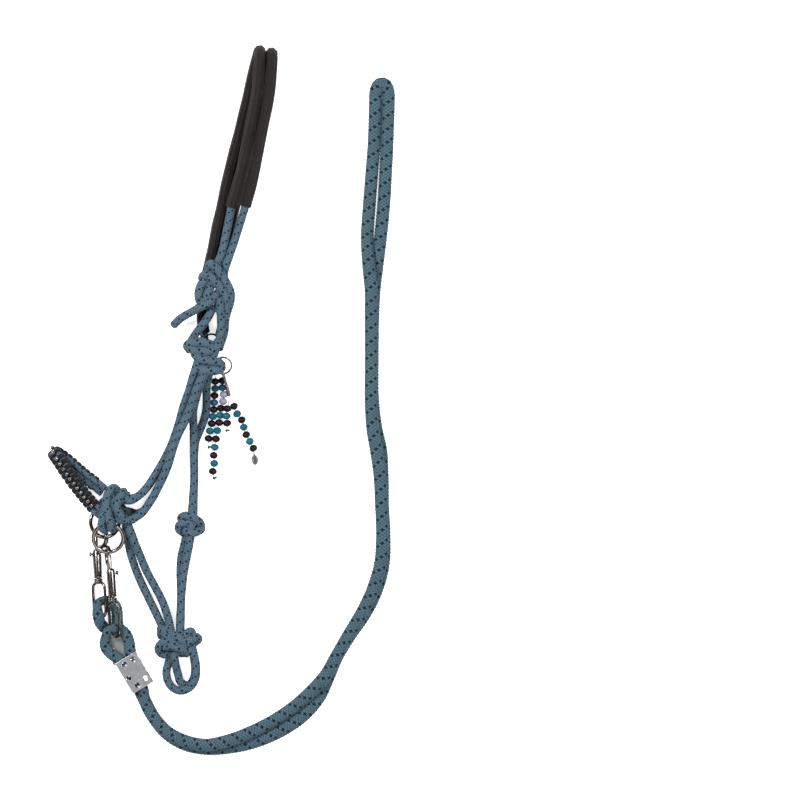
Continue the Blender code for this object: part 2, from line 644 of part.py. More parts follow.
# ---------------------------------------------------------------- crown

def crown_sleeve(name, points):
    """A hollow sleeve, open at both ends, around the middle of a crown rope."""
    route = smooth_route(points[SLEEVE_FIRST:SLEEVE_LAST + 1], LONG_STEP)
    sleeve = tube_curve(name, route, SLEEVE_RADIUS, caps=False)
    wall = sleeve.modifiers.new("wall", "SOLIDIFY")
    wall.thickness = SLEEVE_WALL * MM
    wall.offset = -1.0
    return add(sleeve, BLACK_WEB)


def crown():
    for name, points in (("crown_rope_left", CROWN_LEFT), ("crown_rope_right", CROWN_RIGHT)):
        add(tube_curve(name, smooth_route(points, LONG_STEP), ROPE_RADIUS), BLUE_ROPE)
    crown_sleeve("crown_sleeve_left", CROWN_LEFT)
    crown_sleeve("crown_sleeve_right", CROWN_RIGHT)
    rope("tie_tail", TIE_TAIL)
    rope("tie_leg_left", TIE_LEG_LEFT)
    rope("tie_leg_right", TIE_LEG_RIGHT)
    ends = (CROWN_LEFT[-3:], CROWN_RIGHT[-3:], TIE_TAIL, TIE_LEG_LEFT, TIE_LEG_RIGHT)
    knot("tie_knot", list(TIE_KNOT.values()), [((54, 84, 23.5), (13, 15, 6)), ((51, 67, 22), (12, 8, 5))],
         [grown_tube(points, ROPE_RADIUS) for points in ends])


# ---------------------------------------------------------------- cheeks, throat and chin

def ear_knots():
    turns = list(EAR_KNOT.values())
    near_ring = place(*NEAR_CHARM_RING_AT, charm_ring_turn(NEAR_CHARM_RING_TILT))
    far_ring = place(*FAR_CHARM_RING_AT, charm_ring_turn(FAR_CHARM_RING_TILT))
    near_ends = (TIE_LEG_LEFT, TIE_LEG_RIGHT, CHEEK_NEAR_OUTER[:5], CHEEK_NEAR_INNER[:5], THROAT_NEAR[:4])
    far_ends = (CROWN_LEFT[:3], CROWN_RIGHT[:3], CHEEK_FAR_OUTER[:4], CHEEK_FAR_INNER[:4], THROAT_FAR[:4])
    rings = [linked(tube_curve("ring_cut", ring_route(CHARM_RING_RADIUS, placed), RING_CUT, closed=True))
             for placed in (near_ring, far_ring)]
    knot("near_ear_knot", turns, [(EAR_KNOT_CORE, EAR_KNOT_SIZE)],
         [grown_tube(points, ROPE_RADIUS) for points in near_ends] + [rings[0]])
    knot("far_ear_knot", [mirrored(points) for points in turns],
         [(*mirrored([EAR_KNOT_CORE]), EAR_KNOT_SIZE)],
         [grown_tube(points, ROPE_RADIUS) for points in far_ends]
         + [grown_tube(points, 2 * THREAD_RADIUS) for points in (RING_TO_LEFT, RING_TO_LONG)] + [rings[1]])


def shortened(points):
    """The far nose knot is tied tighter, which leaves room for its snap's hook below it."""
    return [(x + 1.0, FAR_KNOT_TOP + (y - FAR_KNOT_TOP) * FAR_KNOT_SHARE, z) for x, y, z in points]


def nose_knots():
    for side, at, tilt in (("near", NEAR_RING_AT, NEAR_RING_TILT), ("far", FAR_RING_AT, FAR_RING_TILT)):
        near = side == "near"
        strands = [p if near else shortened(mirrored(p)) for p in NOSE_KNOT.values()]
        cores = NEAR_NOSE_CORES if near else FAR_NOSE_CORES
        ends = (CHEEK_NEAR_OUTER[-3:], CHEEK_NEAR_INNER[-3:], CHIN_NEAR[:3]) if near else (
            CHEEK_FAR_OUTER[-3:], CHEEK_FAR_INNER[-3:], CHIN_FAR[:3])
        cuts = [grown_tube(points, ROPE_RADIUS) for points in ends]
        reach = slice(0, 5) if near else slice(-5, None)
        socket = BAND_ROPE_RADIUS + 2 * GAP
        cuts += [linked(tube_curve("band_cut", route[reach], socket)) for route in band_ropes()]
        ring = ring_frame(at, tilt)
        channel = RING_WIRE + RING_ROOM
        cuts.append(linked(tube_curve("ring_cut", ring_route(RING_RADIUS, ring), channel, closed=True)))
        knot(side + "_nose_knot", strands, cores, cuts)


def throat_and_chin():
    rope("near_throat_rope", THROAT_NEAR)
    rope("far_throat_rope", THROAT_FAR)
    rope("throat_lower_rope_left", THROAT_LOWER_LEFT)
    rope("throat_lower_rope_right", THROAT_LOWER_RIGHT)
    rope("near_chin_rope", CHIN_NEAR)
    rope("far_chin_rope", CHIN_FAR)
    rope("lead_loop_outer", LEAD_LOOP_OUTER)
    rope("lead_loop_inner", LEAD_LOOP_INNER)
    ends = (THROAT_NEAR[-3:], THROAT_FAR[-3:], THROAT_LOWER_LEFT[:3], THROAT_LOWER_RIGHT[:3])
    knot("throat_knot", list(THROAT_KNOT.values()), [((28.5, -154, 11.0), (9, 8, 7.0))],
         [grown_tube(points, ROPE_RADIUS) for points in ends], faces=300)
    ends = (THROAT_LOWER_LEFT[-3:], THROAT_LOWER_RIGHT[-3:], CHIN_NEAR[-3:], CHIN_FAR[-3:],
            LEAD_LOOP_OUTER[:3], LEAD_LOOP_OUTER[-3:], LEAD_LOOP_INNER[:3], LEAD_LOOP_INNER[-3:])
    knot("fiador_knot", list(FIADOR_KNOT.values()), [((16, -270, 11.0), (16, 13, 8.5))],
         [grown_tube(points, ROPE_RADIUS) for points in ends], faces=440)


def cheeks():
    rope("near_cheek_rope_outer", CHEEK_NEAR_OUTER)
    rope("near_cheek_rope_inner", CHEEK_NEAR_INNER)
    rope("far_cheek_rope_outer", CHEEK_FAR_OUTER)
    rope("far_cheek_rope_inner", CHEEK_FAR_INNER)


# ---------------------------------------------------------------- noseband

def band_stations(step):
    """Evenly spaced (centre, across, outward) along the noseband, in mm, from the near to the far end."""
    route = [p / MM for p in smooth_route(NOSEBAND, 1.0)]
    lengths = [0.0]
    for a, b in zip(route, route[1:]):
        lengths.append(lengths[-1] + (b - a).length)
    across = Vector(BAND_AXIS).normalized()
    stations = []
    count = int(lengths[-1] / step)
    for k in range(count + 1):
        at = min(k * step, lengths[-1] - 0.01)
        i = max(j for j, length in enumerate(lengths) if length <= at)
        i = min(i, len(route) - 2)
        centre = route[i].lerp(route[i + 1], (at - lengths[i]) / (lengths[i + 1] - lengths[i]))
        along = (route[min(i + 3, len(route) - 1)] - route[max(i - 2, 0)]).normalized()
        side = (across - along * across.dot(along)).normalized()
        stations.append((at, centre, side, along.cross(side)))
    return stations, lengths[-1]


def band_ropes():
    stations, _ = band_stations(6.0)
    return [[(centre + side * sign * BAND_PITCH / 2) * MM for _, centre, side, _ in stations]
            for sign in (1, -1)]


def noseband():
    for name, route in zip(("noseband_rope_upper", "noseband_rope_lower"), band_ropes()):
        add(tube_curve(name, route, BAND_ROPE_RADIUS), BLUE_ROPE)
    fine, length = band_stations(LACE_PITCH / 2)
    fine = [s for s in fine if LACE_START <= s[0] <= length - LACE_STOP]
    stations = fine[::2]
    half, reach = BAND_PITCH / 2, BAND_ROPE_RADIUS + GAP + LACE_RADIUS
    profile = [(-half - reach * math.cos(a), reach * math.sin(a)) for a in
               (math.radians(d) for d in (-20, 30, 75))]
    profile += [(-across, out) for across, out in reversed(profile)]
    lace = []
    for k, (_, centre, side, outward) in enumerate(stations):
        crossing = profile if k % 2 == 0 else profile[::-1]
        lace += [(centre + side * across + outward * out) * MM for across, out in crossing]
    add(tube_curve("noseband_lacing", lace, LACE_RADIUS, resolution=0), BLACK_WEB)
    chain, swell = [], []
    for _, centre, _, outward in stations:
        along = outward.cross(Vector(BAND_AXIS).normalized()).normalized()
        for offset, size in ((-0.95, LINK_RADIUS), (-0.5, 0.87 * BALL_RADIUS), (0.5, 0.87 * BALL_RADIUS),
                             (0.95, LINK_RADIUS)):
            chain.append((centre + outward * BALL_HEIGHT - along * offset * BALL_RADIUS) * MM)
            swell.append(size / BALL_RADIUS)
    add(tube_curve("noseband_ball_chain", chain, BALL_RADIUS, swell, resolution=1), STEEL)


# ---------------------------------------------------------------- rings and bolt snaps

def ring_frame(at, tilt):
    return place(*at, Matrix.Rotation(tilt[0], 4, "X") @ Matrix.Rotation(tilt[1], 4, "Y"))


def ring(name, radius, wire, frame, sides=28):
    return add(tube_curve(name, ring_route(radius, frame, sides), wire, closed=True), STEEL)


def rein_rings():
    ring("near_ring", RING_RADIUS, RING_WIRE, ring_frame(NEAR_RING_AT, NEAR_RING_TILT))
    ring("far_ring", RING_RADIUS, RING_WIRE, ring_frame(FAR_RING_AT, FAR_RING_TILT))


def snap_frame(spec, roll):
    """X along the snap, Y towards the hook at the roll angle (degrees) above the table."""
    along = Vector(spec["along"]).normalized()
    level = Vector((0, 0, 1)).cross(along).normalized()
    upward = along.cross(level)
    angle = math.radians(roll)
    side = level * math.cos(angle) + upward * math.sin(angle)
    turn = Matrix((along, side, along.cross(side))).transposed().to_4x4()
    return place(*spec["at"], turn)


def snap_points(points, frame):
    return [frame @ (Vector(p) * MM) for p in points]


def hook_route():
    """From inside the barrel's shoulder out, round the hook and back to its tip over the bolt."""
    x, y = HOOK_CENTRE
    points = [(2.5, 1.5, 0), (1.0, 4.5, 0)]
    for degrees in range(0, 241, 20):
        a = math.radians(degrees)
        points.append((x + HOOK_RADIUS * math.cos(a), y + HOOK_RADIUS * math.sin(a), 0))
    return points


def snap_body(name, frame, slot_frame):
    barrel = cylinder(BARREL_RADIUS, -1.0, BARREL_LENGTH, frame)
    barrel.name = name
    hook = as_cutter(joined(name + "_hook", [linked(tube_curve(
        "hook", snap_points(hook_route(), frame), HOOK_WIRE))]))
    boolean(barrel, hook, "UNION")
    cuts = [cylinder(BORE_RADIUS, -6.0, SPRING_ENDS[1] + GAP, frame, 12),
            cylinder(STEM_RADIUS + 0.4, SPRING_ENDS[1] + 1.5, BARREL_LENGTH + 3, frame, 12),
            box((BOLT_TRAVEL + 3.4, 8.0, SLOT_WIDTH), (1.3 + (BOLT_TRAVEL + 3.4) / 2, 4.0, 0), slot_frame)]
    for i, cut in enumerate(cuts):
        boolean(barrel, as_cutter(joined(f"{name}_cut_{i + 1}", [cut])), "DIFFERENCE")
    return finished(barrel, STEEL)


def snap_bolt(name, frame, slot_frame):
    bolt = cylinder(BOLT_RADIUS, BOLT_TIP, BOLT_BACK, frame, 12)
    bolt.name = name
    sideways = slot_frame @ place(3.0, 0, 0, Matrix.Rotation(math.pi / 2, 4, "Z"))
    post = cylinder(1.1, 0.5, 6.6, sideways, 10)
    knob = cylinder(2.3, 5.8, 7.6, sideways, 12)
    for i, piece in enumerate((post, knob)):
        boolean(bolt, as_cutter(joined(f"{name}_part_{i + 1}", [piece])), "UNION")
    return finished(bolt, STEEL)


def snap_spring(name, frame):
    first, last = SPRING_ENDS
    steps = SPRING_TURNS * 6
    points = []
    for k in range(steps + 1):
        a = 2 * math.pi * k / 6
        points.append((first + SPRING_WIRE + (last - first - 2 * SPRING_WIRE) * k / steps,
                       SPRING_RADIUS * math.cos(a), SPRING_RADIUS * math.sin(a)))
    add(tube_curve(name, snap_points(points, frame), SPRING_WIRE, resolution=1), STEEL)


def snap_eye(name, frame):
    """The swivelling eye: a long wire loop on a stem that turns in the barrel's end."""
    start = BARREL_LENGTH + EYE_START
    arc_centre = EYE_END - EYE_HALF_WIDTH
    half = [(start, 0, 0), (start + 0.8, 0.6 * EYE_HALF_WIDTH, 0), (start + 4.0, EYE_HALF_WIDTH, 0),
            (arc_centre - 8.0, EYE_HALF_WIDTH, 0)]
    for degrees in (90, 60, 30):
        a = math.radians(degrees)
        half.append((arc_centre + EYE_HALF_WIDTH * math.cos(a), EYE_HALF_WIDTH * math.sin(a), 0))
    loop = half + [(EYE_END, 0, 0)] + [(x, -y, z) for x, y, z in reversed(half[1:])]
    eye = joined(name, [linked(tube_curve("loop", snap_points(loop, frame), EYE_WIRE, closed=True))])
    linked(eye)
    stem = cylinder(STEM_RADIUS, SPRING_ENDS[1] + 2.0, start + EYE_WIRE, frame, 12)
    collar = cylinder(COLLAR_RADIUS, BARREL_LENGTH + 0.5, start + EYE_WIRE, frame, 14)
    for i, piece in enumerate((stem, collar)):
        boolean(eye, as_cutter(joined(f"{name}_part_{i + 1}", [piece])), "UNION")
    return finished(eye, STEEL)


def bolt_snaps():
    for side, spec in (("near", NEAR_SNAP), ("far", FAR_SNAP)):
        hook_frame = snap_frame(spec, spec["hook_roll"])
        slot_frame = snap_frame(spec, spec["knob_roll"])
        snap_body(side + "_snap_body", hook_frame, slot_frame)
        snap_bolt(side + "_snap_bolt", hook_frame, slot_frame)
        snap_spring(side + "_snap_spring", hook_frame)
        snap_eye(side + "_swivel_eye", snap_frame(spec, spec["eye_roll"]))


# ---------------------------------------------------------------- reins

def rein_pair():
    """Both strands of the doubled rein from the clamps to the top fold: side by side or stacked."""
    low = REIN_RADIUS + 0.2
    centres = [Vector(station[:2]) for station in REIN_STATIONS]
    near, far = [], []
    for i, (x, y, half_gap) in enumerate(REIN_STATIONS):
        along = (centres[min(i + 1, len(centres) - 1)] - centres[max(i - 1, 0)]).normalized()
        left = Vector((-along.y, along.x))
        rise = math.sqrt(max(0.0, REIN_SPACING**2 - (2 * half_gap)**2))
        near.append((*(centres[i] + left * half_gap), low + rise))
        far.append((*(centres[i] - left * half_gap), low))
    return near, far


def rein_route():
    near, far = rein_pair()
    return (NEAR_REIN_END + near + REIN_TOP_FOLD + far[::-1] + FAR_REIN_APPROACH[::-1]
            + FAR_REIN_END[::-1])


def clamp_frame(spec):
    along = Vector(spec["along"]).normalized()
    up = Vector((0, 0, 1))
    return place(*spec["at"], Matrix((along, up.cross(along), up)).transposed().to_4x4())


def clamp_plate(name, spec, above):
    """One pressed plate of a rein clamp, with its side lips turned towards the rope."""
    frame = clamp_frame(spec)
    length, width, thickness = CLAMP_SIZE
    sign = 1 if above else -1
    height = sign * (CLAMP_GAP + thickness) / 2
    plate = box((length, width, thickness), (0, 0, height), frame)
    plate.name = name
    lip_height = CLAMP_GAP / 2 - GAP
    lips = [box((0.36 * length, thickness, lip_height + thickness),
                (x * length, sign * (width - thickness) / 2,
                 sign * (CLAMP_GAP / 2 + thickness) - sign * (lip_height + thickness) / 2), frame)
            for x in (-0.30, 0.30)]
    for i, lip in enumerate(lips):
        boolean(plate, as_cutter(joined(f"{name}_lip_{i + 1}", [lip])), "UNION")
    upright = Matrix.Rotation(math.pi / 2, 4, "Y")
    for i, (x, y) in enumerate(CLAMP_HOLES):
        hole = cylinder(CLAMP_HOLE_RADIUS, -3, 3, frame @ place(x, y, height, upright), 12)
        boolean(plate, as_cutter(joined(f"{name}_hole_{i + 1}", [hole])), "DIFFERENCE")
    return finished(plate, CLAMP_METAL, smooth=False)


def reins():
    route = rein_route()
    narrow = REIN_END_RADIUS / REIN_RADIUS
    points = smooth_route(route, REIN_STEP)
    for point in points:
        point.z = max(point.z, (REIN_RADIUS + 0.2) * MM)
    squeezed = len(smooth_route(NEAR_REIN_END, REIN_STEP))
    released = len(smooth_route(FAR_REIN_END, REIN_STEP))
    swell = [narrow] * squeezed + [1.0] * (len(points) - squeezed - released) + [narrow] * released
    add(tube_curve("rein_rope", points, REIN_RADIUS, swell), BLUE_ROPE)
    rope("near_rein_loop", NEAR_REIN_LOOP, REIN_END_RADIUS)
    rope("far_rein_loop", FAR_REIN_LOOP, REIN_END_RADIUS)
    for side, spec in (("near", NEAR_CLAMP), ("far", FAR_CLAMP)):
        clamp_plate(side + "_clamp_top_plate", spec, True)
        clamp_plate(side + "_clamp_bottom_plate", spec, False)


# ---------------------------------------------------------------- bead charms

def charm_ring_turn(tilt):
    return Matrix.Rotation(tilt, 4, "X")


def bead_strand(name, beads, lead=(), tail=()):
    """Beads threaded on a cord, with bare thread before and after them."""
    spine, swell = [], []
    thread = THREAD_RADIUS / BEAD_RADIUS
    for point in lead:
        spine.append(to_metres(point))
        swell.append(thread)
    for i, point in enumerate(beads):
        here = Vector((*point[:2], point[2] if len(point) > 2 else BEAD_HEIGHT))
        previous = Vector((*beads[max(i - 1, 0)][:2], here.z))
        following = Vector((*beads[min(i + 1, len(beads) - 1)][:2], here.z))
        along = (following - previous).normalized()
        for offset, size in ((-0.93, 0.28), (-0.5, 0.87), (0.5, 0.87), (0.93, 0.28)):
            spine.append((here + along * offset * BEAD_RADIUS) * MM)
            swell.append(size)
    for point in tail:
        spine.append(to_metres(point))
        swell.append(thread)
    return add(tube_curve(name, spine, BEAD_RADIUS, swell, resolution=1), BEAD_GLASS)


def charms():
    near_frame = place(*NEAR_CHARM_RING_AT, charm_ring_turn(NEAR_CHARM_RING_TILT))
    far_frame = place(*FAR_CHARM_RING_AT, charm_ring_turn(FAR_CHARM_RING_TILT))
    ring("near_charm_ring", CHARM_RING_RADIUS, CHARM_RING_WIRE, near_frame, 20)
    ring("far_charm_ring", CHARM_RING_RADIUS, CHARM_RING_WIRE, far_frame, 20)
    body = smooth_route(CLASP_BODY, 3.0)
    swell = [1.0 if i < CLASP_BODY_FIRST else CLASP_BODY_SWELL for i in range(len(body) - 1)] + [1.0]
    add(tube_curve("charm_clasp", body, CLASP_RADIUS, swell), STEEL)
    add(tube_curve("clasp_lever", smooth_route(CLASP_LEVER, 3.0), 0.7), STEEL)
    bead_strand("near_strand_right", NEAR_CHARM_RIGHT, CLASP_TO_RIGHT, RIGHT_TO_FEATHER)
    bead_strand("near_strand_short", NEAR_CHARM_SHORT, CLASP_TO_SHORT, SHORT_TAIL)
    bead_strand("far_strand_left", FAR_CHARM_LEFT, RING_TO_LEFT, LEFT_TAIL)
    bead_strand("far_strand_long", FAR_CHARM_LONG, RING_TO_LONG, LONG_TAIL)
    outline = bpy.data.curves.new("feather_pendant", "CURVE")
    outline.dimensions = "2D"
    outline.fill_mode = "BOTH"
    outline.extrude = 0.5 * MM
    for loop in (FEATHER_OUTLINE, [(1.0 * math.cos(a), -1.6 + 1.0 * math.sin(a)) for a in
                                   (2 * math.pi * k / 8 for k in range(8))]):
        spline = outline.splines.new("POLY")
        spline.points.add(len(loop) - 1)
        for i, (x, y) in enumerate(loop):
            spline.points[i].co = (x * MM, y * MM, 0.0, 1.0)
        spline.use_cyclic_u = True
    feather = bpy.data.objects.new("feather_pendant", outline)
    feather.location = to_metres(FEATHER_AT)
    feather.rotation_euler = (0.0, 0.0, math.radians(FEATHER_TURN))
    add(feather, STEEL)


crown()
cheeks()
ear_knots()
noseband()
nose_knots()
throat_and_chin()
rein_rings()
bolt_snaps()
reins()
charms()
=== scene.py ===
"""Looks of the rope halter: braided ropes, real knots, woven sleeves, laced noseband, snaps and beads.

Sizes are in millimetres and become metres where a mesh is made. The routes are the ones the solids follow.
"""
import math

import bmesh
import bpy
import numpy as np
from mathutils import Matrix, Vector


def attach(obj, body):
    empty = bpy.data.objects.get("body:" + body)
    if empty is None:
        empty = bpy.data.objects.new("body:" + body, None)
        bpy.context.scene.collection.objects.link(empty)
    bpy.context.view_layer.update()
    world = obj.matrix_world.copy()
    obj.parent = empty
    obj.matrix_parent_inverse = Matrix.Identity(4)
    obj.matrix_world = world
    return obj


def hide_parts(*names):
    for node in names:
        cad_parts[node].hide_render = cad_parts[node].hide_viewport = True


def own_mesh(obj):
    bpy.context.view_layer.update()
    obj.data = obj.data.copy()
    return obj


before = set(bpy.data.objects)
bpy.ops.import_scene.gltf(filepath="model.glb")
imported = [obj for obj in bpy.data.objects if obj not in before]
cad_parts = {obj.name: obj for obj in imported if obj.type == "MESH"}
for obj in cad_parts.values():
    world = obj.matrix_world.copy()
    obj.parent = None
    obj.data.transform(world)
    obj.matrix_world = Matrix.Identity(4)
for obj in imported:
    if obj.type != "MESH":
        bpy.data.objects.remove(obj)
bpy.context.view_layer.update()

MM = 0.001
ROPE_RADIUS = 4.1
KNOT_STRAND_RADIUS = 4.35
SLEEVE_RADIUS = 5.9
SLEEVE_WALL = 1.15
SLEEVE_FIRST, SLEEVE_LAST = 1, 23
REIN_END_RADIUS = 4.4
REIN_HALF = (6.5, 5.1)   # half its width and height where it lies a little flat
LOOP_AT_EYE = 0.47       # how far along a rein loop the snap's eye holds it
FAR_KNOT_TOP, FAR_KNOT_SHARE = -114.0, 0.75
LAYER_TOP = 42.1
BAND_ROPE_RADIUS = 3.3
BAND_PITCH = 7.0
BAND_AXIS = (-0.66, -0.61, -0.43)
LACE_PITCH = 5.8
LACE_START, LACE_STOP = 11.0, 12.0
BALL_RADIUS = 2.1
BALL_HEIGHT, BALL_ASIDE = 5.7, 2.0

# A braid has this many strands each way round, and a strand goes once round in one lead
HALTER_STRANDS, HALTER_LEAD = 8, 20.6
REIN_STRANDS, REIN_LEAD = 8, 27.0
UV_SCALE = 0.01          # texture units for each millimetre along a rope

RING_RADIUS, RING_WIRE = 15.0, 2.0
NEAR_RING_AT, NEAR_RING_TILT = (-53.5, -167.0, 19.0), (math.radians(21.5), 0.0)
FAR_RING_AT, FAR_RING_TILT = (-57.0, -151.0, 11.2), (0.0, math.radians(20.0))
NEAR_SNAP = dict(at=(-51.2, -199.0, 20.4), along=(0.077, -0.997, -0.010),
                 hook_roll=-99.0, knob_roll=10.0, eye_roll=50.0)
FAR_SNAP = dict(at=(-65.4, -180.0, 5.4), along=(0.060, -0.997, 0.040),
                hook_roll=50.0, knob_roll=172.0, eye_roll=35.0)
HOOK_CENTRE, HOOK_RADIUS, HOOK_WIRE = (-13.2, 7.5), 9.5, 2.3
BARREL_RADIUS, BARREL_LENGTH = 4.4, 27.0
BOLT_TIP, BOLT_BACK = -15.8, 9.0
BOLT_TRAVEL, SLOT_WIDTH = 8.0, 2.8
SPRING_ENDS = (9.7, 20.0)
EYE_HALF_WIDTH, EYE_START, EYE_END, EYE_WIRE = 7.2, 4.6, 67.0, 1.6

CLAMP_SIZE, CLAMP_GAP = (35.0, 24.0, 1.2), 9.4
CLAMP_HOLE_RADIUS = 2.7
CLAMP_HOLES = ((-12.5, -4.5), (-12.5, 5.5), (2.0, -8.0), (12.0, -4.0), (10.5, 6.5))
NEAR_CLAMP = dict(at=(-27.3, -301.3, 18.4), along=(0.514, -0.858, 0.0))
FAR_CLAMP = dict(at=(-43.0, -274.0, 6.1), along=(0.34, -0.94, 0.0))

CHARM_RING_RADIUS, CHARM_RING_WIRE = 9.0, 1.0
NEAR_CHARM_RING_AT, NEAR_CHARM_RING_TILT = (60.8, 5.4, 26.0), math.radians(25.0)
FAR_CHARM_RING_AT, FAR_CHARM_RING_TILT = (49.5, 28.0, 14.5), math.radians(10.0)
BEAD_RADIUS, BEAD_HEIGHT, BEAD_STRETCH = 4.2, 4.25, 0.85
FEATHER_AT, FEATHER_TURN = (92.2, -82.6, 1.2), 4.0

# Turns of the knots that show only between the others
EAR_KNOT_UNDER = [(33, 7, 27), (40, 6, 28), (48, 5, 27.5)]
TIE_UNDER_TURN = [
    (68, 72, 25), (66.3, 64, 23), (63.9, 56, 21.2), (63.1, 47, 20.3), (62.2, 38, 21.5), (60, 31, 24.5),
    (57, 22, 28),
]

# Routes: (x, y, z) in mm, the same as the solids'
CROWN_LEFT = [
    (43.5, 26, 10), (41.8, 38, 8), (40.5, 53, 6.3), (41.5, 71, 6.1), (44.5, 91, 6.1), (48.5, 110, 6.1),
    (53.5, 134, 6.1), (58, 155, 6.1), (63.5, 181, 6.1), (71.5, 215, 6.1), (79, 244, 6.1),
    (85.5, 271, 6.1), (90.5, 293, 6.4), (94.5, 309.5, 8.5), (96.8, 318, 13), (97.8, 320.2, 18.5),
    (98.2, 316.5, 25), (97.6, 306.5, 29.5), (96.3, 289, 29.8), (93.5, 269, 27), (88.2, 243, 23.5),
    (82.5, 213, 20.5), (76, 187, 19), (69.6, 163, 18.4), (64.8, 139, 17.6), (60.2, 119, 17.2),
    (56.6, 108.5, 17),
]
CROWN_RIGHT = [
    (53.5, 24.5, 10), (58.8, 33.5, 8), (61.6, 48, 6.3), (61.2, 68, 6.1), (60.2, 92, 6.1), (61.6, 113, 6.1),
    (66, 135, 6.1), (70.5, 156, 6.1), (76, 181, 6.1), (84, 215, 6.1), (91.5, 244, 6.1), (98, 271, 6.1),
    (103, 291, 6.4), (107, 307, 8.5), (109.2, 315.3, 13), (110.1, 317.5, 18.5), (110.4, 313.8, 25),
    (109.9, 304, 29.5), (108.6, 287, 29.8), (106, 268, 27), (100.8, 243, 23.5), (95.2, 213, 20.5),
    (89.4, 187, 19), (83.3, 164, 18.4), (75.7, 139, 17.8), (69, 119, 17.4), (65.2, 108.5, 17),
]
TIE_KNOT = {
    "upper_turn": [
        (50, 97, 18), (46.8, 102.5, 20), (48.8, 107, 24), (54, 103.5, 27), (60.3, 95, 28.5),
        (65, 87, 28), (68.6, 78.6, 26.5), (68.4, 69.5, 25), (65.8, 61, 23), (63.5, 53, 22),
    ],
    "second_turn": [
        (45, 88, 19), (40.6, 92, 22), (42.2, 96, 26.5), (50, 93, 30), (57, 85.5, 30.5), (62.5, 78, 29.5),
        (65.5, 70, 27), (65.8, 62, 24),
    ],
    "left_turn": [
        (46, 93, 25), (40.5, 88, 26), (37.2, 80, 25), (37.6, 71, 22.5), (43, 65, 19),
    ],
    "middle_turn": [
        (50, 88, 25.5), (47, 80, 26.5), (43.5, 72, 26.5), (40, 66, 23),
    ],
    "tail_turn": [
        (59, 81, 23), (53.5, 75, 26), (45, 67, 28), (35.5, 62.8, 26.5),
    ],
    "loop_top": [
        (55, 60, 19), (57, 68, 21), (58.3, 70.8, 24.6), (58.8, 65, 26.6), (59, 56, 26),
    ],
    "turn_between": [
        (51, 100, 22), (59, 89, 23), (64.5, 77, 22), (63.5, 64, 20.5),
    ],
    "left_end": [
        (57, 110, 17), (54.5, 102, 18.5), (54, 92, 20),
    ],
    "right_end": [
        (65.4, 109.5, 17), (62.6, 101, 18.5), (61.5, 90, 20),
    ],
}
TIE_TAIL = [
    (39, 64.2, 26.5), (32, 60.2, 25), (24, 55.9, 21), (17.5, 51.8, 14), (11.8, 46.3, 5.5),
]
TIE_LEG_LEFT = [
    (50, 61, 20.5), (46, 53, 22), (41, 46, 24), (35, 38.5, 27), (30, 31, 29.5),
]
TIE_LEG_RIGHT = [
    (59, 61, 25.6), (59.2, 51, 26), (59.4, 42, 26.8), (58.2, 33, 28.2), (55.5, 25, 30), (52.5, 17, 31),
]
CHEEK_NEAR_OUTER = [
    (34.8, 6, 30.5), (32.3, -2, 29), (29.8, -10, 27), (27, -20, 24), (22.2, -33, 21.2), (16.4, -54, 20.1),
    (8.6, -76, 20.1), (1, -91, 20), (-7, -104.5, 19.6), (-15.5, -117, 21.2), (-23.5, -125.2, 25),
    (-31, -129.2, 28), (-38, -129, 29),
]
CHEEK_NEAR_INNER = [
    (41.8, -3, 33.7), (38.6, -9, 32.6), (35.7, -16, 31.4), (32.6, -25, 30), (28.4, -37, 28.6),
    (23.3, -50, 28), (16.6, -62.5, 28), (11.2, -77.3, 28), (6, -95, 27.5), (1.4, -106, 27),
    (-3.4, -115.5, 27), (-8.2, -125, 27.4), (-13.4, -133.2, 28), (-19.5, -141.7, 29), (-27, -147, 30.5),
]
CHEEK_FAR_OUTER = [
    (33.8, 2, 9), (30.2, -9, 5.2), (27, -20, 4.4), (22.2, -33, 4.3), (16.4, -54, 4.3), (8.6, -76, 4.3),
    (1, -91, 4.3), (-7, -104.5, 4.3), (-15.5, -117, 4.8), (-24.5, -125.5, 7), (-36, -129, 9),
]
CHEEK_FAR_INNER = [
    (41.3, -1, 10.9), (37.7, -10, 10.5), (32.8, -25, 9.7), (28.4, -37, 10.1), (23.3, -50, 11.8),
    (16.6, -62.5, 12.2), (11.2, -77.3, 12.2), (6, -95, 11), (1.4, -106, 8.4), (-3.4, -115.5, 6.4),
    (-8.2, -125, 5.4), (-13.4, -133.2, 5.6), (-19.5, -140.6, 7.4), (-25.5, -142.6, 9), (-31, -141, 9.5),
]
THROAT_NEAR = [
    (43, -3, 25), (38, -15, 20.5), (33.8, -29, 18.9), (31.5, -39, 18.2), (31.3, -49, 16.8), (31.7, -60, 14.6),
    (32, -69, 13.2), (32.2, -89, 13), (32.3, -109, 13), (31.2, -126, 14.5), (29.5, -146, 15.5),
]
THROAT_FAR = [
    (48.5, 0, 15.8), (45.6, -9, 15.4), (44.5, -20, 12.3), (44.6, -30, 9.8), (44.2, -39, 6.5),
    (41.6, -50, 4.8), (37.6, -60, 4.3), (34, -69, 4.3), (32.5, -80, 4.3), (32.3, -95, 4.3),
    (32.3, -109, 4.3), (31.8, -126, 5), (31.5, -146, 6.2),
]
THROAT_LOWER_LEFT = [
    (24.5, -161, 6), (22.5, -172, 4.6), (19.5, -185, 4.4), (18.4, -199, 4.3), (19, -219, 4.3),
    (19, -239, 4.3), (18.5, -260, 5.5),
]
THROAT_LOWER_RIGHT = [
    (29.5, -160, 13.8), (27.7, -172, 13.1), (25, -186, 12.9), (22.4, -199, 12.9), (20, -219, 12.9),
    (18.6, -239, 12.9), (18, -260, 14.3),
]
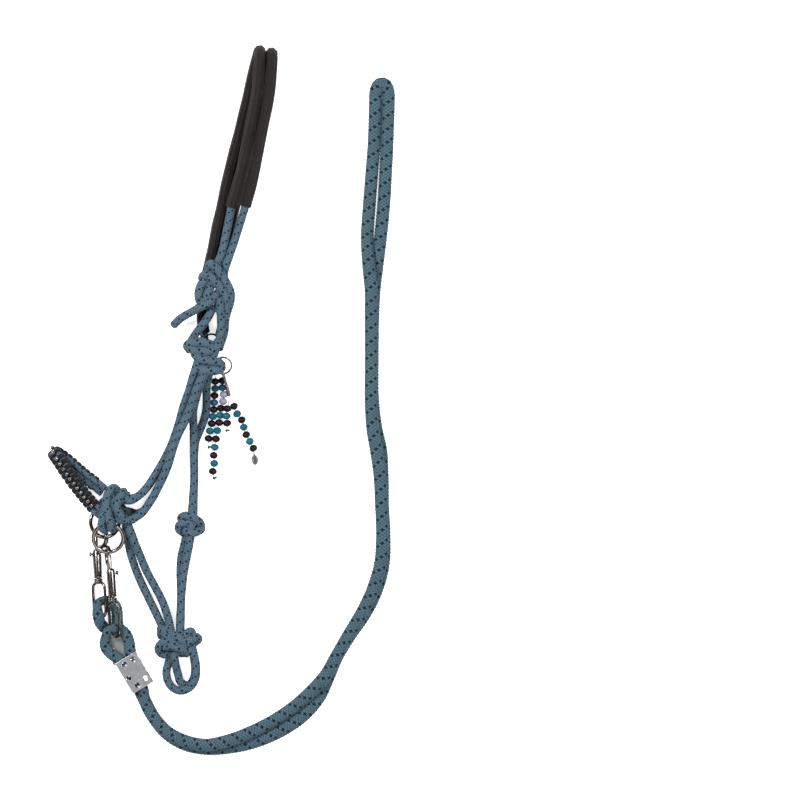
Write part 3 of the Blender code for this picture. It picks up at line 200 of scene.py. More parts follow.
CHIN_NEAR = [
    (-34, -152.5, 25), (-30.8, -161, 22.5), (-27, -171.5, 19), (-22, -184, 15), (-15.8, -199, 12.5),
    (-7.4, -215, 10.5), (-0.2, -229, 9.5), (5, -243, 10), (8, -254, 12.5), (9.5, -262, 14.5),
]
CHIN_FAR = [
    (-36.5, -147.5, 9.5), (-35.8, -157, 7), (-33.8, -171, 5), (-30.9, -184, 4.4), (-26, -199, 4.4),
    (-19.2, -215, 4.4), (-12, -230, 4.4), (-5.2, -244, 5), (0, -255, 7), (2.5, -262, 8.5),
]
LEAD_LOOP_OUTER = [
    (30, -275, 13), (32.5, -285, 12.8), (34.3, -297, 12.8), (33.5, -307, 12.8), (28.5, -315.6, 12.8),
    (20.5, -319.4, 12.5), (12, -317.2, 8.5), (6, -310, 4.9), (4.4, -301, 4.5), (6.7, -291, 4.6),
    (9.5, -280, 5),
]
LEAD_LOOP_INNER = [
    (13.5, -278, 12.8), (12.5, -286, 12.5), (13.8, -294, 9), (16, -303, 5.5), (18.6, -311, 4.2),
    (26.5, -314, 4.2), (31.5, -307.5, 4.2), (33, -300, 4.2), (32.5, -290, 4.2), (30, -277, 4.4),
]
NOSEBAND = [
    (-60, -142, 31), (-66.2, -137, 29.5), (-74.2, -128, 28), (-83.2, -117, 26.8),
    (-92.2, -105, 25.8), (-99.7, -93.7, 24.5), (-104.9, -85.8, 21.8), (-107.2, -82.2, 17.5),
    (-106.3, -81.8, 13), (-101.6, -84.6, 10), (-93.5, -90.8, 9.4), (-84.4, -99, 9.4), (-74.2, -107.3, 9.6),
    (-65, -114.4, 10), (-58, -120.3, 10.4),
]
NEAR_REIN_LOOP = [
    (-35.7, -297.2, 18.4), (-40.4, -289.3, 18.4), (-46.5, -285.4, 18.4), (-52.7, -280.8, 18.8),
    (-56.4, -274.5, 20.3), (-56.5, -267, 22), (-54.2, -260.8, 23.2), (-50.7, -258.2, 22.3),
    (-46.6, -257.4, 19.8), (-41.8, -258.2, 17.2), (-36.4, -262.4, 16.9), (-33.2, -269.6, 17.3),
    (-32, -277.5, 18), (-30.8, -284, 18.4), (-26.5, -291.8, 18.4),
]
FAR_REIN_LOOP = [
    (-51, -268.2, 6.1), (-54.1, -259.7, 6), (-59, -255.3, 7.9), (-62.4, -250, 13.3),
    (-63.8, -243.5, 14.7), (-64.4, -237.5, 13.2), (-63.9, -233, 10.4), (-61, -230.2, 6.6),
    (-57, -229.4, 4.9), (-51.5, -230.6, 4.7), (-47, -234.5, 4.8), (-45, -240.5, 4.8),
    (-44.6, -248, 5.2), (-43.8, -256, 6.1), (-40.4, -264.4, 6.1),
]
NOSE_KNOT = {
    "long_turn": [
        (-48, -129, 25.5), (-45.5, -121, 26.5), (-48.5, -117, 30), (-53.2, -122.5, 35),
        (-55.2, -131, 37.2), (-53.4, -142, 37.2), (-50.9, -152, 35), (-49.3, -157.8, 29.5),
        (-49.5, -153, 25.5),
    ],
    "right_turn": [
        (-44, -132, 26), (-40.5, -125, 26.5), (-39, -122, 30), (-42.5, -127.5, 34.5),
        (-45, -135, 36.5), (-41.5, -143, 35), (-36, -150, 31),
    ],
    "left_turn": [
        (-61, -136, 29), (-57.5, -138, 33), (-58.2, -146, 34), (-60, -154.5, 31), (-57.5, -158.5, 27),
        (-53, -155, 25.5),
    ],
    "inner_cheek": [
        (-33, -149.5, 30), (-40, -148.5, 31), (-47, -146.5, 29), (-53, -143, 27),
    ],
    "outer_cheek": [
        (-34, -127.5, 29), (-42, -128, 29.5), (-50, -129, 28),
    ],
    "middle_turn": [
        (-49.5, -124, 30.5), (-48, -133, 33.5), (-43.5, -142, 34), (-36, -150, 30),
    ],
    "chin": [
        (-35, -152, 27), (-41, -145, 27), (-48, -138, 26),
    ],
}
FIADOR_KNOT = {
    "chin_right": [
        (6, -256, 13), (10, -262.5, 17.5), (17, -267.5, 19.5), (24, -270.5, 18.5), (29, -269, 14),
    ],
    "chin_left": [
        (-1.5, -256, 9), (2.5, -261.5, 14), (8.5, -268.5, 18), (15, -275, 18.5), (21, -280, 16.5),
        (25.5, -282.5, 12),
    ],
    "left_lobe": [
        (0, -266, 7), (-1.2, -261.5, 9), (0.5, -258.5, 12.5), (4.5, -260, 15),
    ],
    "left_curl": [
        (10, -271, 17), (3, -270.5, 17.5), (-2, -274, 15.5), (-3, -279.5, 11), (0.5, -283, 8),
        (6.5, -282, 8), (11, -278, 9),
    ],
    "middle": [
        (3, -275.5, 16), (9.5, -275, 18.5), (17, -277, 19), (23.5, -279.5, 16),
    ],
    "right_lobe": [
        (23, -266, 15.5), (26, -261.5, 15), (29.5, -260.5, 12), (30, -264, 7.5),
    ],
    "right_ball": [
        (22, -274, 17), (27.5, -270, 18.5), (33.8, -265.8, 15.5), (36.4, -268, 10.5),
        (32, -271.5, 7.5),
    ],
    "right_leg": [
        (31, -271, 13.5), (30, -276, 14), (26.5, -281, 14),
    ],
    "bottom": [
        (14, -279.5, 12), (21, -282, 14), (27, -279.5, 14),
    ],
    "throat_rope": [
        (18.5, -258, 13.5), (19, -265, 14.5), (21, -273, 13),
    ],
}
NEAR_REIN_END = [
    (-25.8, -303.9, 18.4), (-22.2, -309.9, 18.4), (-18.5, -316, 18.4),
]
FAR_REIN_END = [
    (-42, -276.8, 6.1), (-39.6, -283.4, 6.1), (-37, -290.5, 6.1),
]
FAR_REIN_APPROACH = [
    (-30.5, -304, 5.9), (-23.2, -317, 5.8),
]
REIN_TOP_FOLD = [
    (213.6, 277, 5.8), (214.8, 282.8, 5.8), (217, 286.2, 5.8), (220, 287.4, 5.8),
    (223, 286.2, 5.8), (225.2, 282.8, 5.8), (226.4, 277, 5.8),
]
CLASP_BODY = [
    (61.6, -5.3, 24.3), (61.1, -3, 24.9), (60.9, -1.2, 23.7), (61.1, -0.8, 21.6), (61.5, -2, 19.9),
    (62.8, -6.9, 16.6), (64, -11.8, 13.4), (65.4, -17.2, 9.8), (66.3, -21, 7.8), (67, -24.5, 6.2),
]
CLASP_LEVER = [
    (62.2, -7.3, 23.2), (63.3, -11, 20.6), (64.2, -14.3, 17.6), (64.8, -15.8, 15),
]
CLASP_TO_RIGHT = [
    (69.4, -27.5, 5), (71.6, -31, 4.1),
]
CLASP_TO_SHORT = [
    (67.4, -28, 7), (66.4, -32.8, 9),
]
RIGHT_TO_FEATHER = [
    (92.1, -81.6, 2.6),
]
SHORT_TAIL = [
    (65.3, -57.5, 2.4), (64, -61, 1.2), (69, -63.5, 1),
]
LEFT_TAIL = [
    (46.8, -73.5, 2.4), (46.6, -78, 1.2),
]
LONG_TAIL = [
    (51.2, -105, 2.4), (52.2, -108.4, 1.2), (58.5, -108.8, 1),
]
RING_TO_LEFT = [
    (52.3, -0.5, 6.8), (53.2, -6, 4.1),
]
RING_TO_LONG = [
    (59, 0.5, 6.8), (60.7, -5, 4.1),
]
REIN_STATIONS = [
    (-17.2, -329, 0.2), (-7.8, -346.8, 0.2), (4.6, -361, 0.8), (22, -371, 1.6), (43, -375.5, 1.8),
    (68, -372.5, 3.5), (93, -365, 5.3), (118, -353, 6.2), (138, -339, 6.2), (154.5, -321.5, 4.6),
    (165, -305, 1.6), (175, -285, 0.3), (188, -263, 0.6), (201.5, -242, 1.5), (213, -218, 1.8),
    (220, -192, 1.4), (221.3, -167, 0.9), (220, -134, 0.6), (219, -104, 1.2), (216.5, -79, 2.2),
    (212.3, -57, 1.6), (210, -31, 0.8), (209.8, 11, 0.5), (210, 56, 0.9), (210.6, 81, 1.6),
    (210.9, 106, 4.3), (212, 135, 6.7), (214.5, 166, 7.2), (216.8, 199, 6.9), (218.5, 226, 6.5),
    (219.4, 251, 6.5), (219.9, 269, 6.5),
]
NEAR_CHARM_RIGHT = [
    (72, -35.2), (75.2, -42.8), (79.8, -48.9), (81.8, -56.2), (84.2, -63.6), (87.8, -70.4),
    (91.3, -77.3),
]
NEAR_CHARM_SHORT = [
    (65.4, -37.6, 9.6), (64.6, -45, 9), (65.2, -52.2, 5.6),
]
FAR_CHARM_LEFT = [
    (53.1, -10.4), (53.1, -17.5), (52.5, -24.5), (52.1, -31.5), (51.7, -38.5), (50.8, -45.5),
    (49.8, -52.6), (48, -60), (46.7, -67.6),
]
FAR_CHARM_LONG = [
    (60.5, -9.6), (60.4, -16.6), (62, -23.4), (61.2, -30.4), (59.1, -37.2), (58.2, -44.3),
    (57.3, -51.6), (55.4, -59.6), (54.1, -67.9), (52.8, -76.2), (51.7, -84.3), (52.3, -92.4),
    (50.8, -100.3),
]
THROAT_KNOT = {
    "top_turn": [
        (21.5, -150, 7), (19, -147, 12), (23.5, -144.5, 16.5), (31.5, -147, 17.5), (38, -151.5, 15),
        (39, -155, 9),
    ],
    "left_turn": [
        (30, -152, 13), (24, -151.5, 15), (18, -153.5, 14), (16.8, -158, 10.5), (21, -161.5, 8),
    ],
    "lower_turn": [
        (23, -158.5, 14), (29.5, -162, 16.5), (36, -160.5, 15), (39.5, -157.5, 10.5), (36, -156, 6),
    ],
    "middle": [
        (28, -147, 14), (29.5, -154.5, 16.5), (28, -162.5, 13),
    ],
}
EAR_KNOT = {
    "top_wrap": [
        (28.5, 21, 26), (25.6, 25, 29), (29.5, 28.2, 33), (37, 29, 35), (43.5, 28, 34.5), (48.5, 26, 31.5),
        (49, 26, 27),
    ],
    "from_leg": [
        (57, 30, 29.5), (53.5, 23.5, 32), (46.5, 19.8, 34.2), (38, 19.8, 34.6), (31.5, 21.3, 32.5),
        (28, 24, 28.5),
    ],
    "lower_band": [
        (33, 19, 27), (34, 16, 31.5), (38.5, 12.8, 34.6), (44, 10.8, 35.6), (51, 9.6, 35), (57, 8.2, 32),
        (59.6, 5.5, 28),
    ],
    "bottom_wrap": [
        (38, 1, 28), (41, 1.2, 32.5), (47, 0.8, 34), (54, 0.8, 33.4), (59.3, 3, 29.5), (58.5, 6.5, 26),
    ],
    "filling": [
        (30, 23, 27), (39, 15, 28), (47, 8, 28), (54, 4, 27),
    ],
    "upper_filling": [
        (34, 28, 28), (44, 24, 28), (54, 17, 27),
    ],
}


# ---------------------------------------------------------------- materials

class Nodes:
    """Short ways to wire up a shader."""

    def __init__(self, name):
        self.material = bpy.data.materials.new(name)
        self.material.use_nodes = True
        self.tree = self.material.node_tree
        self.shader = self.tree.nodes["Principled BSDF"]

    def new(self, kind, **settings):
        node = self.tree.nodes.new(kind)
        for key, value in settings.items():
            setattr(node, key, value)
        return node

    def feed(self, socket, value):
        if isinstance(value, bpy.types.NodeSocket):
            self.tree.links.new(value, socket)
        else:
            socket.default_value = value

    def math(self, operation, *values):
        node = self.new("ShaderNodeMath", operation=operation)
        for socket, value in zip(node.inputs, values):
            self.feed(socket, value)
        return node.outputs[0]

    def noise(self, place, scale, detail=2.0):
        node = self.new("ShaderNodeTexNoise")
        self.feed(node.inputs["Vector"], place)
        node.inputs["Scale"].default_value = scale
        node.inputs["Detail"].default_value = detail
        return node.outputs["Fac"]

    def mix(self, amount, first, second):
        node = self.new("ShaderNodeMix", data_type="RGBA")
        self.feed(node.inputs["Factor"], amount)
        self.feed(node.inputs["A"], (*first, 1.0) if isinstance(first, tuple) else first)
        self.feed(node.inputs["B"], (*second, 1.0) if isinstance(second, tuple) else second)
        return node.outputs["Result"]

    def spread(self, value, low, high):
        """0 at low, 1 at high."""
        node = self.new("ShaderNodeMapRange")
        for socket, v in zip(node.inputs, (value, low, high, 0.0, 1.0)):
            self.feed(socket, v)
        return node.outputs[0]

    def bump(self, height, strength, distance):
        node = self.new("ShaderNodeBump")
        self.feed(node.inputs["Height"], height)
        node.inputs["Strength"].default_value = strength
        node.inputs["Distance"].default_value = distance
        self.feed(self.shader.inputs["Normal"], node.outputs[0])

    def set(self, **values):
        for key, value in values.items():
            self.feed(self.shader.inputs[key.replace("_", " ")], value)
        return self.material


def coordinates(nodes):
    """The object's own position, in metres."""
    return nodes.new("ShaderNodeTexCoord").outputs["Object"]


def rope_material(name, light, dark, fleck, strands, lead, sheen=0.05):
    """A braid: strands wind both ways and pass over and under, and a few of them are dark. Painted shade
    darkens the grooves between strands, and a painted highlight lightens the crown of each ply.
    """
    n = Nodes(name)
    uv = n.new("ShaderNodeSeparateXYZ")
    n.feed(uv.inputs[0], n.new("ShaderNodeUVMap", uv_map="braid").outputs[0])
    turns = n.math("MULTIPLY", uv.outputs[0], strands / (lead * UV_SCALE))
    around = n.math("MULTIPLY", uv.outputs[1], float(strands))
    one_way = n.math("ADD", around, turns)
    other_way = n.math("SUBTRACT", around, turns)
    first, second = n.math("FLOOR", one_way), n.math("FLOOR", other_way)
    over = n.math("FLOORED_MODULO", n.math("ADD", first, second), 2.0)
    dark_strand = n.math("LESS_THAN", n.math("FLOORED_MODULO", second, strands / 2.0), 0.5)
    under = n.math("SUBTRACT", 1.0, over)
    dots = n.math("MULTIPLY", dark_strand, over)
    swell = n.math("ABSOLUTE", n.math("MULTIPLY", n.math("SINE", n.math("MULTIPLY", one_way, math.pi)),
                                      n.math("SINE", n.math("MULTIPLY", other_way, math.pi))))
    across = n.math("ADD", n.math("MULTIPLY", one_way, under), n.math("MULTIPLY", other_way, over))
    yarn = n.math("ABSOLUTE", n.math("SINE", n.math("MULTIPLY", across, 3 * math.pi)))
    fuzz = n.noise(coordinates(n), 900.0, 3.0)
    patchy = n.noise(coordinates(n), 60.0)
    # painted shade: the colour goes from the dark colour in the grooves between strands to the light colour
    # on their crowns
    colour = n.mix(n.spread(swell, 0.05, 0.55), dark, light)
    # random patches of darker tone, towards the same dark colour
    colour = n.mix(n.math("MULTIPLY", n.spread(patchy, 0.3, 0.7), 0.25), colour, dark)
    # painted highlight: the crown of each ply is lightened a little
    colour = n.mix(n.math("MULTIPLY", n.spread(yarn, 0.0, 0.6), 0.10), colour, light)
    colour = n.mix(n.math("MULTIPLY", dots, n.spread(swell, 0.0, 0.12)), colour, fleck)
    fibres = n.math("ADD", n.math("MULTIPLY", yarn, 0.25), n.math("MULTIPLY", fuzz, 0.35))
    height = n.math("ADD", swell, fibres)
    n.bump(height, 0.7, 0.0004)
    n.feed(n.shader.inputs["Roughness"], n.math("ADD", 0.62, n.math("MULTIPLY", fuzz, 0.3)))
    return n.set(Base_Color=colour, Sheen_Weight=sheen, Sheen_Roughness=0.5, Specular_IOR_Level=0.1)


def web_material():
    """Black tubular webbing: a fine twill with lengthwise ribs. Its raised threads are painted lighter and
    the hollows between them darker, as painted light and shade.
    """
    n = Nodes("black_woven_web")
    uv = n.new("ShaderNodeSeparateXYZ")
    n.feed(uv.inputs[0], n.new("ShaderNodeUVMap", uv_map="braid").outputs[0])
    weft = n.math("SINE", n.math("MULTIPLY", uv.outputs[0], 2 * math.pi / (1.1 * UV_SCALE)))
    warp = n.math("SINE", n.math("MULTIPLY", uv.outputs[1], 2 * math.pi * 34))
    twill = n.math("SINE", n.math("ADD", n.math("MULTIPLY", uv.outputs[0], 2 * math.pi / (2.2 * UV_SCALE)),
                                  n.math("MULTIPLY", uv.outputs[1], 2 * math.pi * 17)))
    fuzz = n.noise(coordinates(n), 1400.0, 3.0)
    patchy = n.noise(coordinates(n), 45.0)
    weave = n.math("ADD", n.math("MULTIPLY", weft, warp), n.math("MULTIPLY", twill, 0.6))
    # painted light and shade: raised threads of the weave lighter, its hollows darker
    colour = n.mix(n.spread(weave, -1.2, 1.4), (0.004, 0.003, 0.003), (0.015, 0.011, 0.010))
    colour = n.mix(n.math("MULTIPLY", n.spread(patchy, 0.35, 0.7), 0.5), colour, (0.013, 0.010, 0.010))
    n.bump(n.math("ADD", weave, n.math("MULTIPLY", fuzz, 0.8)), 0.55, 0.0003)
    n.feed(n.shader.inputs["Roughness"], n.math("ADD", 0.55, n.math("MULTIPLY", fuzz, 0.35)))
    return n.set(Base_Color=colour, Sheen_Weight=0.06, Sheen_Roughness=0.4, Specular_IOR_Level=0.2)


def metal_material(name, bright, dull, low, high, grain=90.0):
    """Plated metal with faint clouds and fine handling marks."""
    n = Nodes(name)
    cloud = n.noise(coordinates(n), grain, 4.0)
    stretched = n.new("ShaderNodeMapping")
    n.feed(stretched.inputs["Vector"], coordinates(n))
    stretched.inputs["Scale"].default_value = (1.0, 12.0, 3.0)
    marks = n.noise(stretched.outputs[0], 260.0, 3.0)
    n.feed(n.shader.inputs["Roughness"], n.math("ADD", low, n.math("MULTIPLY", marks, high - low)))
    n.bump(n.math("ADD", cloud, n.math("MULTIPLY", marks, 0.6)), 0.12, 0.0002)
    return n.set(Base_Color=n.mix(n.spread(cloud, 0.3, 0.7), dull, bright), Metallic=1.0)


def bead_material(name, colour, clear=0.0):
    """Moulded glass: glossy, a little uneven in colour."""
    n = Nodes(name)
    cloud = n.noise(coordinates(n), 220.0, 2.0)
    shade = tuple(c * 0.6 for c in colour)
    n.feed(n.shader.inputs["Roughness"], n.math("ADD", 0.14, n.math("MULTIPLY", cloud, 0.12)))
    n.bump(cloud, 0.08, 0.0002)
    return n.set(Base_Color=n.mix(n.spread(cloud, 0.3, 0.75), shade, colour), Transmission_Weight=clear,
                 Specular_IOR_Level=0.15, IOR=1.4)


def plain_material(name, colour, roughness, grain=500.0, depth=0.2):
    n = Nodes(name)
    speck = n.noise(coordinates(n), grain, 3.0)
    dim = tuple(c * 0.75 for c in colour)
    n.bump(speck, depth, 0.0002)
    return n.set(Base_Color=n.mix(n.spread(speck, 0.3, 0.7), dim, colour), Roughness=roughness)


# Each braid's colours: strand crowns, painted shade in the grooves between strands, then the dark strands
HALTER_ROPE = rope_material("halter_braid", (0.072, 0.118, 0.158), (0.028, 0.050, 0.068),
                            (0.003, 0.009, 0.015), HALTER_STRANDS, HALTER_LEAD)
REIN_ROPE = rope_material("rein_braid", (0.058, 0.106, 0.134), (0.022, 0.044, 0.058),
                          (0.003, 0.009, 0.015), REIN_STRANDS, REIN_LEAD)
BLACK_WEB = web_material()
BLACK_CORD = rope_material("black_lacing", (0.013, 0.013, 0.014), (0.004, 0.004, 0.004),
                           (0.008, 0.008, 0.009), 6, 5.0, 0.03)
NICKEL = metal_material("nickel_plate", (0.19, 0.17, 0.165), (0.11, 0.10, 0.095), 0.14, 0.30)
CLAMP_METAL = metal_material("clamp_metal", (0.52, 0.52, 0.54), (0.40, 0.40, 0.42), 0.26, 0.42, 160.0)
SILVER = metal_material("silver", (0.13, 0.13, 0.12), (0.06, 0.06, 0.055), 0.25, 0.45, 400.0)
ROSE_NICKEL = metal_material("rose_nickel", (0.30, 0.235, 0.205), (0.15, 0.12, 0.11), 0.2, 0.36, 300.0)
DARK_NICKEL = metal_material("dark_nickel", (0.24, 0.20, 0.18), (0.13, 0.11, 0.10), 0.14, 0.28)
BEAD_BLACK = bead_material("bead_black", (0.014, 0.006, 0.008))
BEAD_TEAL = bead_material("bead_teal", (0.010, 0.100, 0.150))
BEAD_CLEAR = bead_material("bead_clear", (0.34, 0.37, 0.44), 0.3)
THREAD_WHITE = plain_material("thread_white", (0.44, 0.43, 0.45), 0.6)
THREAD_BLACK = plain_material("thread_black", (0.02, 0.02, 0.02), 0.6)


# ---------------------------------------------------------------- routes

def smooth_route(points, step):
    """Points of a smooth curve through the route, about a step apart, in mm."""
    known = [Vector(p[:3]) for p in points]
    route = []
    for i in range(len(known) - 1):
        start, end = known[i], known[i + 1]
        before = known[i - 1] if i else start - (end - start)
        after = known[i + 2] if i + 2 < len(known) else end + (end - start)
        span, lead, trail = (end - start).length, (start - before).length, (after - end).length
        out = ((start - before) / lead - (end - before) / (lead + span)) * span + (end - start)
        into = ((after - end) / trail - (after - start) / (trail + span)) * span + (end - start)
        pieces = max(1, math.ceil(span / step))
        for k in range(pieces):
            t = k / pieces
            route.append((2 * t**3 - 3 * t**2 + 1) * start + (t**3 - 2 * t**2 + t) * out
                         + (3 * t**2 - 2 * t**3) * end + (t**3 - t**2) * into)
    route.append(known[-1])
    return route


def even(points, step, smooth=True):
    """The route resampled at equal steps, as an array in mm."""
    line = np.array([tuple(p) for p in (smooth_route(points, min(step, 1.0)) if smooth else points)])
    length = np.concatenate([[0], np.cumsum(np.linalg.norm(np.diff(line, axis=0), axis=1))])
    count = max(2, int(round(length[-1] / step)) + 1)
    at = np.linspace(0, length[-1], count)
    return np.stack([np.interp(at, length, line[:, k]) for k in range(3)], axis=1)


def length_of(line):
    return float(np.linalg.norm(np.diff(line, axis=0), axis=1).sum())


# ---------------------------------------------------------------- meshes

def normalised(rows):
    return rows / np.maximum(np.linalg.norm(rows, axis=-1, keepdims=True), 1e-9)


def frames_along(line, up):
    """A tangent, a normal and a binormal at each point. up is one direction or one per point, or None."""
    tangent = normalised(np.gradient(line, axis=0))
    normal = np.empty_like(line)
    if up is not None:
        wanted = np.broadcast_to(np.asarray(up, float), line.shape)
        normal = normalised(wanted - tangent * (wanted * tangent).sum(1, keepdims=True))
    else:
        guess = np.array((0.0, 0.0, 1.0)) if abs(tangent[0][2]) < 0.9 else np.array((1.0, 0.0, 0.0))
        for i, along in enumerate(tangent):
            guess = guess - along * guess.dot(along)
            guess /= np.linalg.norm(guess)
            normal[i] = guess
    return tangent, normal, np.cross(tangent, normal)


class Shape:
    """Collects tubes, spheres and turned shapes, in mm, and makes one mesh of them."""

    def __init__(self):
        self.points, self.faces, self.uvs, self.kinds, self.count = [], [], [], [], 0

    def grid(self, rows, uv_rows, closed=True, kind=0, flip=False):
        """Quads over rows of points. uv_rows has one more column than a closed grid."""
        height, width = rows.shape[:2]
        index = np.arange(height * width).reshape(height, width) + self.count
        across = np.concatenate([index, index[:, :1]], axis=1) if closed else index
        quads = np.stack([across[:-1, :-1], across[:-1, 1:], across[1:, 1:], across[1:, :-1]], axis=-1)
        corner = np.stack([uv_rows[:-1, :-1], uv_rows[:-1, 1:], uv_rows[1:, 1:], uv_rows[1:, :-1]], axis=2)
        quads, corner = quads.reshape(-1, 4), corner.reshape(-1, 4, 2)
        if flip:
            quads, corner = quads[:, ::-1], corner[:, ::-1]
        self.points.append(rows.reshape(-1, 3))
        self.faces.append(quads)
        self.uvs.append(corner)
        self.kinds.append(np.full(len(quads), kind))
        self.count += height * width

    def tube(self, line, radius, sides=16, kind=0, up=None, flat=1.0, relief=None, lead=18.0, closed=False,
             ends=True, start=0.0):
        """A tube along the line. relief is the height of a braid of sides / 2 strands; flat squashes it."""
        line = np.asarray(line, float)
        if closed:
            line = np.concatenate([line[-1:], line, line[:2]])
        radius = np.broadcast_to(np.asarray(radius, float), (len(line),)).copy()
        _, normal, side = frames_along(line, up)
        along = np.concatenate([[0], np.cumsum(np.linalg.norm(np.diff(line, axis=0), axis=1))]) + start
        if closed:
            line, normal, side, radius, along = (a[1:-1] for a in (line, normal, side, radius, along))
        turn = np.arange(sides) / sides
        angle = 2 * np.pi * turn
        wide = radius[:, None] * np.ones(sides)
        if relief:
            odd = (np.arange(len(line))[:, None] + np.arange(sides)) % 2
            wide = wide + relief * (odd - 0.5)
        rows = (line[:, None] + normal[:, None] * (wide * flat * np.sin(angle))[..., None]
                + side[:, None] * (-wide * np.cos(angle))[..., None])
        u = along * UV_SCALE
        if relief:
            u = (np.arange(len(line)) * lead / sides + start) * UV_SCALE
        v = np.arange(sides + 1) / sides
        uv = np.stack(np.broadcast_arrays(u[:, None], v[None]), axis=-1).astype(float)
        if ends and not closed:
            rows, uv = self.rounded_ends(line, rows, uv)
        self.grid(rows, uv, True, kind)

    @staticmethod
    def rounded_ends(line, rows, uv):
        """Closes both ends with a low dome."""
        first = line[0] - line[min(2, len(line) - 1)]
        last = line[-1] - line[max(-3, -len(line))]
        size = np.linalg.norm(rows[0] - line[0], axis=1).mean()
        caps = []
        for centre, ring, out in ((line[0], rows[0], first), (line[-1], rows[-1], last)):
            out = out / np.linalg.norm(out) * size * 0.35
            caps.append([centre + (ring - centre) * s + out * h
                         for s, h in ((0.88, 0.45), (0.6, 0.85), (0.02, 1.0))])
        rows = np.concatenate([caps[0][::-1], rows, caps[1]])
        uv = np.concatenate([uv[:1]] * 3 + [uv] + [uv[-1:]] * 3)
        return rows, uv

    def turned(self, profile, frame, sides=32, kind=0):
        """(along, radius) pairs turned about the frame's X axis, in mm. The ends should reach radius 0."""
        angle = 2 * np.pi * np.arange(sides) / sides
        rows = np.array([[(x, r * math.cos(a), r * math.sin(a)) for a in angle] for x, r in profile])
        length = np.concatenate([[0], np.cumsum(np.linalg.norm(np.diff(np.array(profile), axis=0), axis=1))])
        around = (np.arange(sides + 1) / sides)[None]
        uv = np.stack(np.broadcast_arrays((length * UV_SCALE)[:, None], around), -1)
        self.grid(moved(rows, frame), uv.astype(float), True, kind)

    def ball(self, centre, radius, along=(1, 0, 0), stretch=1.0, hole=0.0, kind=0, sides=18, rings=12):
        """A ball, a little long or short along its axis, with a hole through it if hole is over 0."""
        axis = Vector(along).normalized()
        frame = Matrix.Translation(centre) @ axis.to_track_quat("X", "Z").to_matrix().to_4x4()
        tip = math.asin(min(0.95, hole / radius)) if hole else 0.02
        profile = []
        for k in range(rings + 1):
            a = math.pi - tip - (math.pi - 2 * tip) * k / rings
            profile.append((radius * stretch * math.cos(a), radius * math.sin(a)))
        if hole:
            profile = [(profile[0][0] * 0.2, hole * 0.8)] + profile + [(profile[-1][0] * 0.2, hole * 0.8)]
        self.turned(profile, frame, sides, kind)

    def made(self, name, *materials, sharp=None):
        mesh = bpy.data.meshes.new(name)
        points = np.concatenate(self.points) * MM
        faces = np.concatenate(self.faces)
        mesh.vertices.add(len(points))
        mesh.vertices.foreach_set("co", points.astype(np.float32).ravel())
        mesh.loops.add(faces.size)
        mesh.loops.foreach_set("vertex_index", faces.ravel().astype(np.int32))
        mesh.polygons.add(len(faces))
        mesh.polygons.foreach_set("loop_start", np.arange(0, faces.size, 4, dtype=np.int32))
        layer = mesh.uv_layers.new(name="braid")
        mesh.update(calc_edges=True)
        layer.data.foreach_set("uv", np.concatenate(self.uvs).astype(np.float32).ravel())
        mesh.polygons.foreach_set("material_index", np.concatenate(self.kinds).astype(np.int32))
        mesh.validate()
        mesh.shade_smooth()
        if sharp:
            mesh.set_sharp_from_angle(angle=math.radians(sharp))
        for material in materials:
            mesh.materials.append(material)
        obj = bpy.data.objects.new(name, mesh)
        bpy.context.scene.collection.objects.link(obj)
        return obj


def moved(rows, frame):
    """Points in mm, moved by a placement in mm."""
    matrix = np.array(frame)
    return rows @ matrix[:3, :3].T + matrix[:3, 3]


def place(x, y, z, turn=None):
    return Matrix.Translation((x, y, z)) @ (turn or Matrix.Identity(4))


def piece(obj, body, slot, *nodes):
    """The finished piece rides on its body and stands for its solids."""
    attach(obj, body)
    if nodes:
        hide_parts(*nodes)
    return obj


def rope_into(shape, points, radius=ROPE_RADIUS, strands=HALTER_STRANDS, lead=HALTER_LEAD, flat=1.0, up=None,
              relief=0.42, kind=0, smooth=True):
    """A braided rope along a route. Its mesh has one row for each half diamond of the braid."""
    line = even(points, lead / (2 * strands), smooth)
    shape.tube(line, radius, sides=2 * strands, kind=kind, relief=relief, lead=lead, flat=flat, up=up)
    return line


def extended(points, by=5.0):
    """The route with a straight bit added at each end, to run into a knot."""
    known = [Vector(p[:3]) for p in points]
    first = known[0] + (known[0] - known[1]).normalized() * by
    last = known[-1] + (known[-1] - known[-2]).normalized() * by
    return [first, *known, last]


def free_rope(name, points, radius=ROPE_RADIUS, reach=4.0):
    """A plain braided rope between two knots."""
    shape = Shape()
    line = rope_into(shape, extended(points, reach) if reach else points, radius)
    obj = piece(shape.made(name + "_braid", HALTER_ROPE), "halter", "blue_rope", name)
    return obj


def knot(name, strands, radius=KNOT_STRAND_RADIUS):
    """Every turn of the knot is a rope of its own, pressed against the next."""
    shape = Shape()
    for points in strands:
        rope_into(shape, points, radius)
    return piece(shape.made(name + "_turns", HALTER_ROPE), "halter", "blue_rope", name)


def mirrored(points):
    """A near knot's route turned over to make the far knot that lies under it."""
    return [(p[0], p[1], LAYER_TOP - p[2]) for p in points]


# ---------------------------------------------------------------- crown

